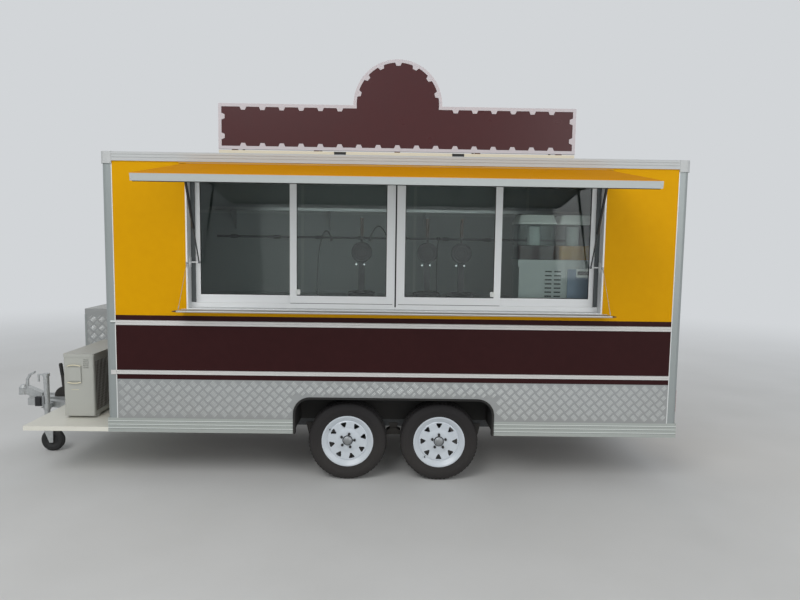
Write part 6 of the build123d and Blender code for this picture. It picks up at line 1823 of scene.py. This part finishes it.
@dataclass
class DeckGear:
    """Latches and edge angles of the storage box, the brake's grip, and the lead socket.

    Attributes:
        socket: Half the lead socket's length, depth and height.
    """

    angle: float = 0.018
    angle_proud: float = 0.0016
    latch_inset: float = 0.16
    tube_radius: float = 0.032
    socket: tuple[float, float, float] = (0.027, 0.018, 0.041)
    socket_height: float = 0.458
    grip: Outline = (
        (0, 0.012), (0.013, 0.010), (0.017, -0.004), (0.016, -0.09), (0.018, -0.098), (0, -0.098)
    )

    def build(self) -> None:
        """Make the box's fittings and the drawbar's."""
        low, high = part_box("storage_box")
        lid_low, lid_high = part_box("storage_lid")
        foot, top = low[2] + 0.002, lid_low[2] - 0.002
        p, a = self.angle_proud, self.angle
        angles = Form()
        for x, sx in ((low[0], -1), (lid_high[0] - LID_HINGE_DEPTH, 1)):
            for y, sy in ((low[1], -1), (high[1], 1)):
                angles.box((x + sx * p, y, foot), (x - sx * a, y + sy * p, top))
                angles.box((x, y + sy * p, foot), (x + sx * p, y - sy * a, top))
        angles.done("box_edge_angles", ANODISED, "tread_plate", 0.5)
        for number, y in enumerate((low[1] + self.latch_inset, high[1] - self.latch_inset)):
            self.latch(number, low[0], y, lid_low[2])
        brake_low, brake_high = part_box("handbrake")
        tip = (brake_low[0] + 0.060, middle_of("coupling_head").y + 0.005, brake_high[2])
        grip = Form()
        grip.lathe(self.grip, facing(tip, (-0.030, 0, 0.237), (0, 1, 0)), 20)
        grip.done("brake_grip", RUBBER, "strut_black")
        self.lead_socket()

    def latch(self, number: int, face: float, y: float, z: float) -> None:
        """Make one over-centre latch: its body on the box, its keeper on the lid.

        Args:
            number: The latch's number in its pieces' names.
            face: The box's front face.
            y: The latch's middle along it.
            z: The height of the lid's edge.
        """
        body, keeper = Form(), Form()
        near = face - 0.0003
        body.box((face - 0.004, y - 0.022, z - 0.085), (near, y + 0.022, z - 0.018))
        body.box((face - 0.014, y - 0.015, z - 0.075), (face - 0.004, y + 0.015, z - 0.026))
        body.tube(((face - 0.009, y - 0.019, z - 0.03), (face - 0.009, y + 0.019, z - 0.03)), 0.004, 10)
        body.done(f"latch_body_{number}", ZINC, "galvanised_steel", 1.0)
        keeper.box((face - 0.004, y - 0.018, z + 0.006), (near, y + 0.018, z + 0.030))
        keeper.box((face - 0.011, y - 0.014, z + 0.016), (face - 0.004, y + 0.014, z + 0.021))
        keeper.done(f"latch_keeper_{number}", ZINC, "galvanised_steel", 0.8, body="box_lid")

    def lead_socket(self) -> None:
        """Make the small black socket box beside the jockey tube, in its bracket."""
        low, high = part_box("jockey_tube")
        r, t = self.tube_radius, 0.003
        wide, deep, tall = self.socket
        x, y, z = high.x - 2 * r - wide, low.y + r, self.socket_height
        left, right, front, back, foot, top = x - wide, x + wide, y - deep, y + deep, z - tall, z + tall
        box, frame = Form(), Form()
        box.box((left, front, foot), (right, back, top))
        box.box((left + 0.006, front - 0.005, foot + 0.012), (right - 0.006, front, top - 0.008))
        box.done("lead_socket_box", ABS_BLACK, "strut_black", 3.0)
        frame.box((left - t, front, foot - t), (right, back, foot - 0.0003))
        frame.box((left - t, front, foot - t), (left - 0.0003, back, top))
        frame.box((right + 0.0003, y - 0.010, foot - t), (right + r * 0.6, y + 0.010, top))
        frame.done("lead_socket_bracket", ZINC, "galvanised_steel", 0.5)


@dataclass
class RearDoor:
    """Gasket and lock of the entry door, and the roses of its handle.

    Attributes:
        heights: How high the handle's two roses and the lock stand above the door's foot.
    """

    gasket: float = 0.0022
    heights: tuple[float, float, float] = (0.82, 0.96, 0.74)
    rose: Outline = ((0, 0.004), (0.016, 0.004), (0.019, 0.002), (0.019, -0.0003), (0, -0.0003))
    lock: Outline = (
        (0, 0.006), (0.010, 0.006), (0.013, 0.003), (0.018, 0.002), (0.019, -0.0003), (0, -0.0003)
    )

    def build(self) -> None:
        """Make the gasket round the leaf, the lock with its keyhole and the handle's roses."""
        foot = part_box("door_frame")[0][2]
        low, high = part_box("door_leaf")
        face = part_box("rear_wall")[1][0]
        places = [facing((face + 0.0003, low[1] + 0.060, foot + up), (1, 0, 0)) for up in self.heights]
        roses, gasket = Form(), Form()
        for place in places[:2]:
            roses.lathe(self.rose, place, 24)
        roses.lathe(self.lock, places[2], 28)
        roses.box((-0.001, -0.006, 0.0055), (0.001, 0.006, 0.0068), places[2])
        roses.done("door_lock", CHROME, "trim_aluminium", body="door")
        left, right, sill, top = low[1] - 0.0035, high[1] - 0.028, low[2] - 0.0035, high[2] + 0.0035
        corners = ((left, sill), (right, sill), (right, top), (left, top))
        gasket.tube([(face - 0.006, y, z) for y, z in corners], self.gasket, 8, closed=True)
        gasket.done("door_gasket", RUBBER, "strut_black")


@dataclass(frozen=True)
class SoftLamp:
    """A square soft lamp: where it hangs, its power in watts, and whether bright surfaces show it."""

    name: str
    place: Point
    power: float
    target: Point = (0.6, 0.5, 1.2)
    size: float = 6.0
    reflected: bool = True

    def hang(self) -> None:
        """Put the lamp in its place, turned to its target."""
        data = bpy.data.lights.new(self.name, "AREA")
        data.size = self.size
        data.energy = self.power
        lamp = bpy.data.objects.new(self.name, data)
        bpy.context.scene.collection.objects.link(lamp)
        lamp.location = self.place
        lamp.rotation_euler = (Vector(self.target) - Vector(self.place)).to_track_quat("-Z", "Y").to_euler()
        lamp.visible_glossy = self.reflected


@dataclass
class Studio:
    """The pale floor, the soft light and the camera at the photograph's angle.

    Attributes:
        fade: How far from the middle the floor starts and ends to turn into the backdrop.
    """

    eye: tuple[float, float, float] = (0.5866, -5.4750, 1.9414)
    yaw: float = 0.0129
    pitch: float = 0.0927
    roll: float = 0.0144
    lens: float = 29.13
    floor_radius: float = 60.0
    fade: tuple[float, float] = (4.2, 15.0)
    backdrop: str = "#D2D5D8"
    floor: str = "#D0D0CE"
    floor_shade: str = "#BFBFBC"
    sky: str = "#EEF2F8"
    sky_strength: float = 0.57
    lamps: tuple[SoftLamp, ...] = (
        SoftLamp("key_lamp", (-3.5, -8.0, 8.5), 500),
        SoftLamp("fill_lamp", (6.5, -8.0, 4.0), 200),
        SoftLamp("low_lamp", (0.5, -10.5, 2.4), 165, target=(0.6, 0.5, 1.4), reflected=False),
        SoftLamp("back_lamp", (1.0, 9.0, 7.0), 240),
    )

    def build(self) -> None:
        """Make the world, the floor, the lamps and the camera."""
        self.make_world()
        self.make_floor()
        for lamp in self.lamps:
            lamp.hang()
        self.make_camera()
        bpy.context.scene.view_settings.view_transform = "Standard"

    def make_world(self) -> None:
        """Light the object evenly, and show a pale ground behind it."""
        world = bpy.data.worlds.new("studio")
        bpy.context.scene.world = world
        world.use_nodes = True
        tree = world.node_tree
        paths = add_node(tree, "ShaderNodeLightPath")
        seen = paths.outputs["Is Camera Ray"]
        for ray in ("Is Transmission Ray", "Is Glossy Ray"):
            links = {0: seen, 1: paths.outputs[ray]}
            seen = add_node(tree, "ShaderNodeMath", {"operation": "MAXIMUM"}, links).outputs[0]
        settings = {"Color": linear(self.sky), "Strength": self.sky_strength}
        light = add_node(tree, "ShaderNodeBackground", settings)
        shown = add_node(tree, "ShaderNodeBackground", {"Color": linear(self.backdrop), "Strength": 1.0})
        links = {0: seen, 1: light.outputs[0], 2: shown.outputs[0]}
        both = add_node(tree, "ShaderNodeMixShader", None, links)
        tree.links.new(both.outputs[0], tree.nodes["World Output"].inputs["Surface"])

    def make_floor(self) -> None:
        """Lay a wide pale floor that fades into the ground behind."""
        data = bpy.data.meshes.new("studio_floor")
        form = bmesh.new()
        bmesh.ops.create_circle(form, cap_ends=True, radius=self.floor_radius, segments=96)
        form.to_mesh(data)
        form.free()
        floor = bpy.data.objects.new("studio_floor", data)
        bpy.context.scene.collection.objects.link(floor)
        material = bpy.data.materials.new("studio_floor_paint")
        material.use_nodes = True
        tree = material.node_tree
        shader = tree.nodes["Principled BSDF"]
        shader.inputs["Roughness"].default_value = 0.75
        coords = add_node(tree, "ShaderNodeTexCoord").outputs["Object"]
        settings = {"Scale": 0.9, "Detail": 8.0}
        cloud = add_node(tree, "ShaderNodeTexNoise", settings, {"Vector": coords}).outputs["Fac"]
        settings = {"data_type": "RGBA", 6: linear(self.floor), 7: linear(self.floor_shade)}
        colour = add_node(tree, "ShaderNodeMix", settings, {0: cloud}).outputs[2]
        tree.links.new(colour, shader.inputs["Base Color"])
        away = add_node(tree, "ShaderNodeVectorMath", {"operation": "LENGTH"}, {0: coords}).outputs["Value"]
        start, end = self.fade
        settings = {"interpolation_type": "SMOOTHSTEP", "From Min": start, "From Max": end}
        share = add_node(tree, "ShaderNodeMapRange", settings, {"Value": away}).outputs[0]
        glow = add_node(tree, "ShaderNodeEmission", {"Color": linear(self.backdrop), "Strength": 1.0})
        links = {0: share, 1: shader.outputs[0], 2: glow.outputs[0]}
        both = add_node(tree, "ShaderNodeMixShader", None, links)
        tree.links.new(both.outputs[0], tree.nodes["Material Output"].inputs["Surface"])
        data.materials.append(material)

    def make_camera(self) -> None:
        """Set the camera where the photograph was taken from."""
        ahead = Vector((math.sin(self.yaw), math.cos(self.yaw), 0)) * math.cos(self.pitch)
        ahead.z = -math.sin(self.pitch)
        level = Vector((math.cos(self.yaw), -math.sin(self.yaw), 0))
        upright = level.cross(ahead)
        right = level * math.cos(self.roll) + upright * math.sin(self.roll)
        up = upright * math.cos(self.roll) - level * math.sin(self.roll)
        data = bpy.data.cameras.new("photo_camera")
        data.lens = self.lens
        camera = bpy.data.objects.new("photo_camera", data)
        bpy.context.scene.collection.objects.link(camera)
        turn = Matrix((right, up, -ahead)).transposed().to_4x4()
        camera.matrix_world = Matrix.Translation(Vector(self.eye)) @ turn
        bpy.context.scene.camera = camera


def main() -> None:
    """Load the frame, then dress and add to it class by class."""
    logging.basicConfig(level=logging.INFO, format="%(name)s %(message)s")
    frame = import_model()
    dress_nodes(frame["nodes"])
    shell = Shell.measured()
    CabinLining(shell).build()
    TreadPlate(shell).build()
    for axle, turned, valve in ((Axle.FRONT, 59, 147), (Axle.REAR, 0, 228)):
        for side in Side:
            RoadWheel(axle, side, turned, valve).build()
    ServingWindows().build()
    BodyTrim(shell).build()
    Hatch(shell).build()
    ServiceShelf(shell).build()
    RoofSign(shell).build()
    WaffleIrons(shell).build()
    DrinksDispenser().build()
    CabinFittings().build()
    AirConditioner().build()
    DeckGear().build()
    RearDoor().build()
    Studio().build()


if __name__ == "__main__":
    main()
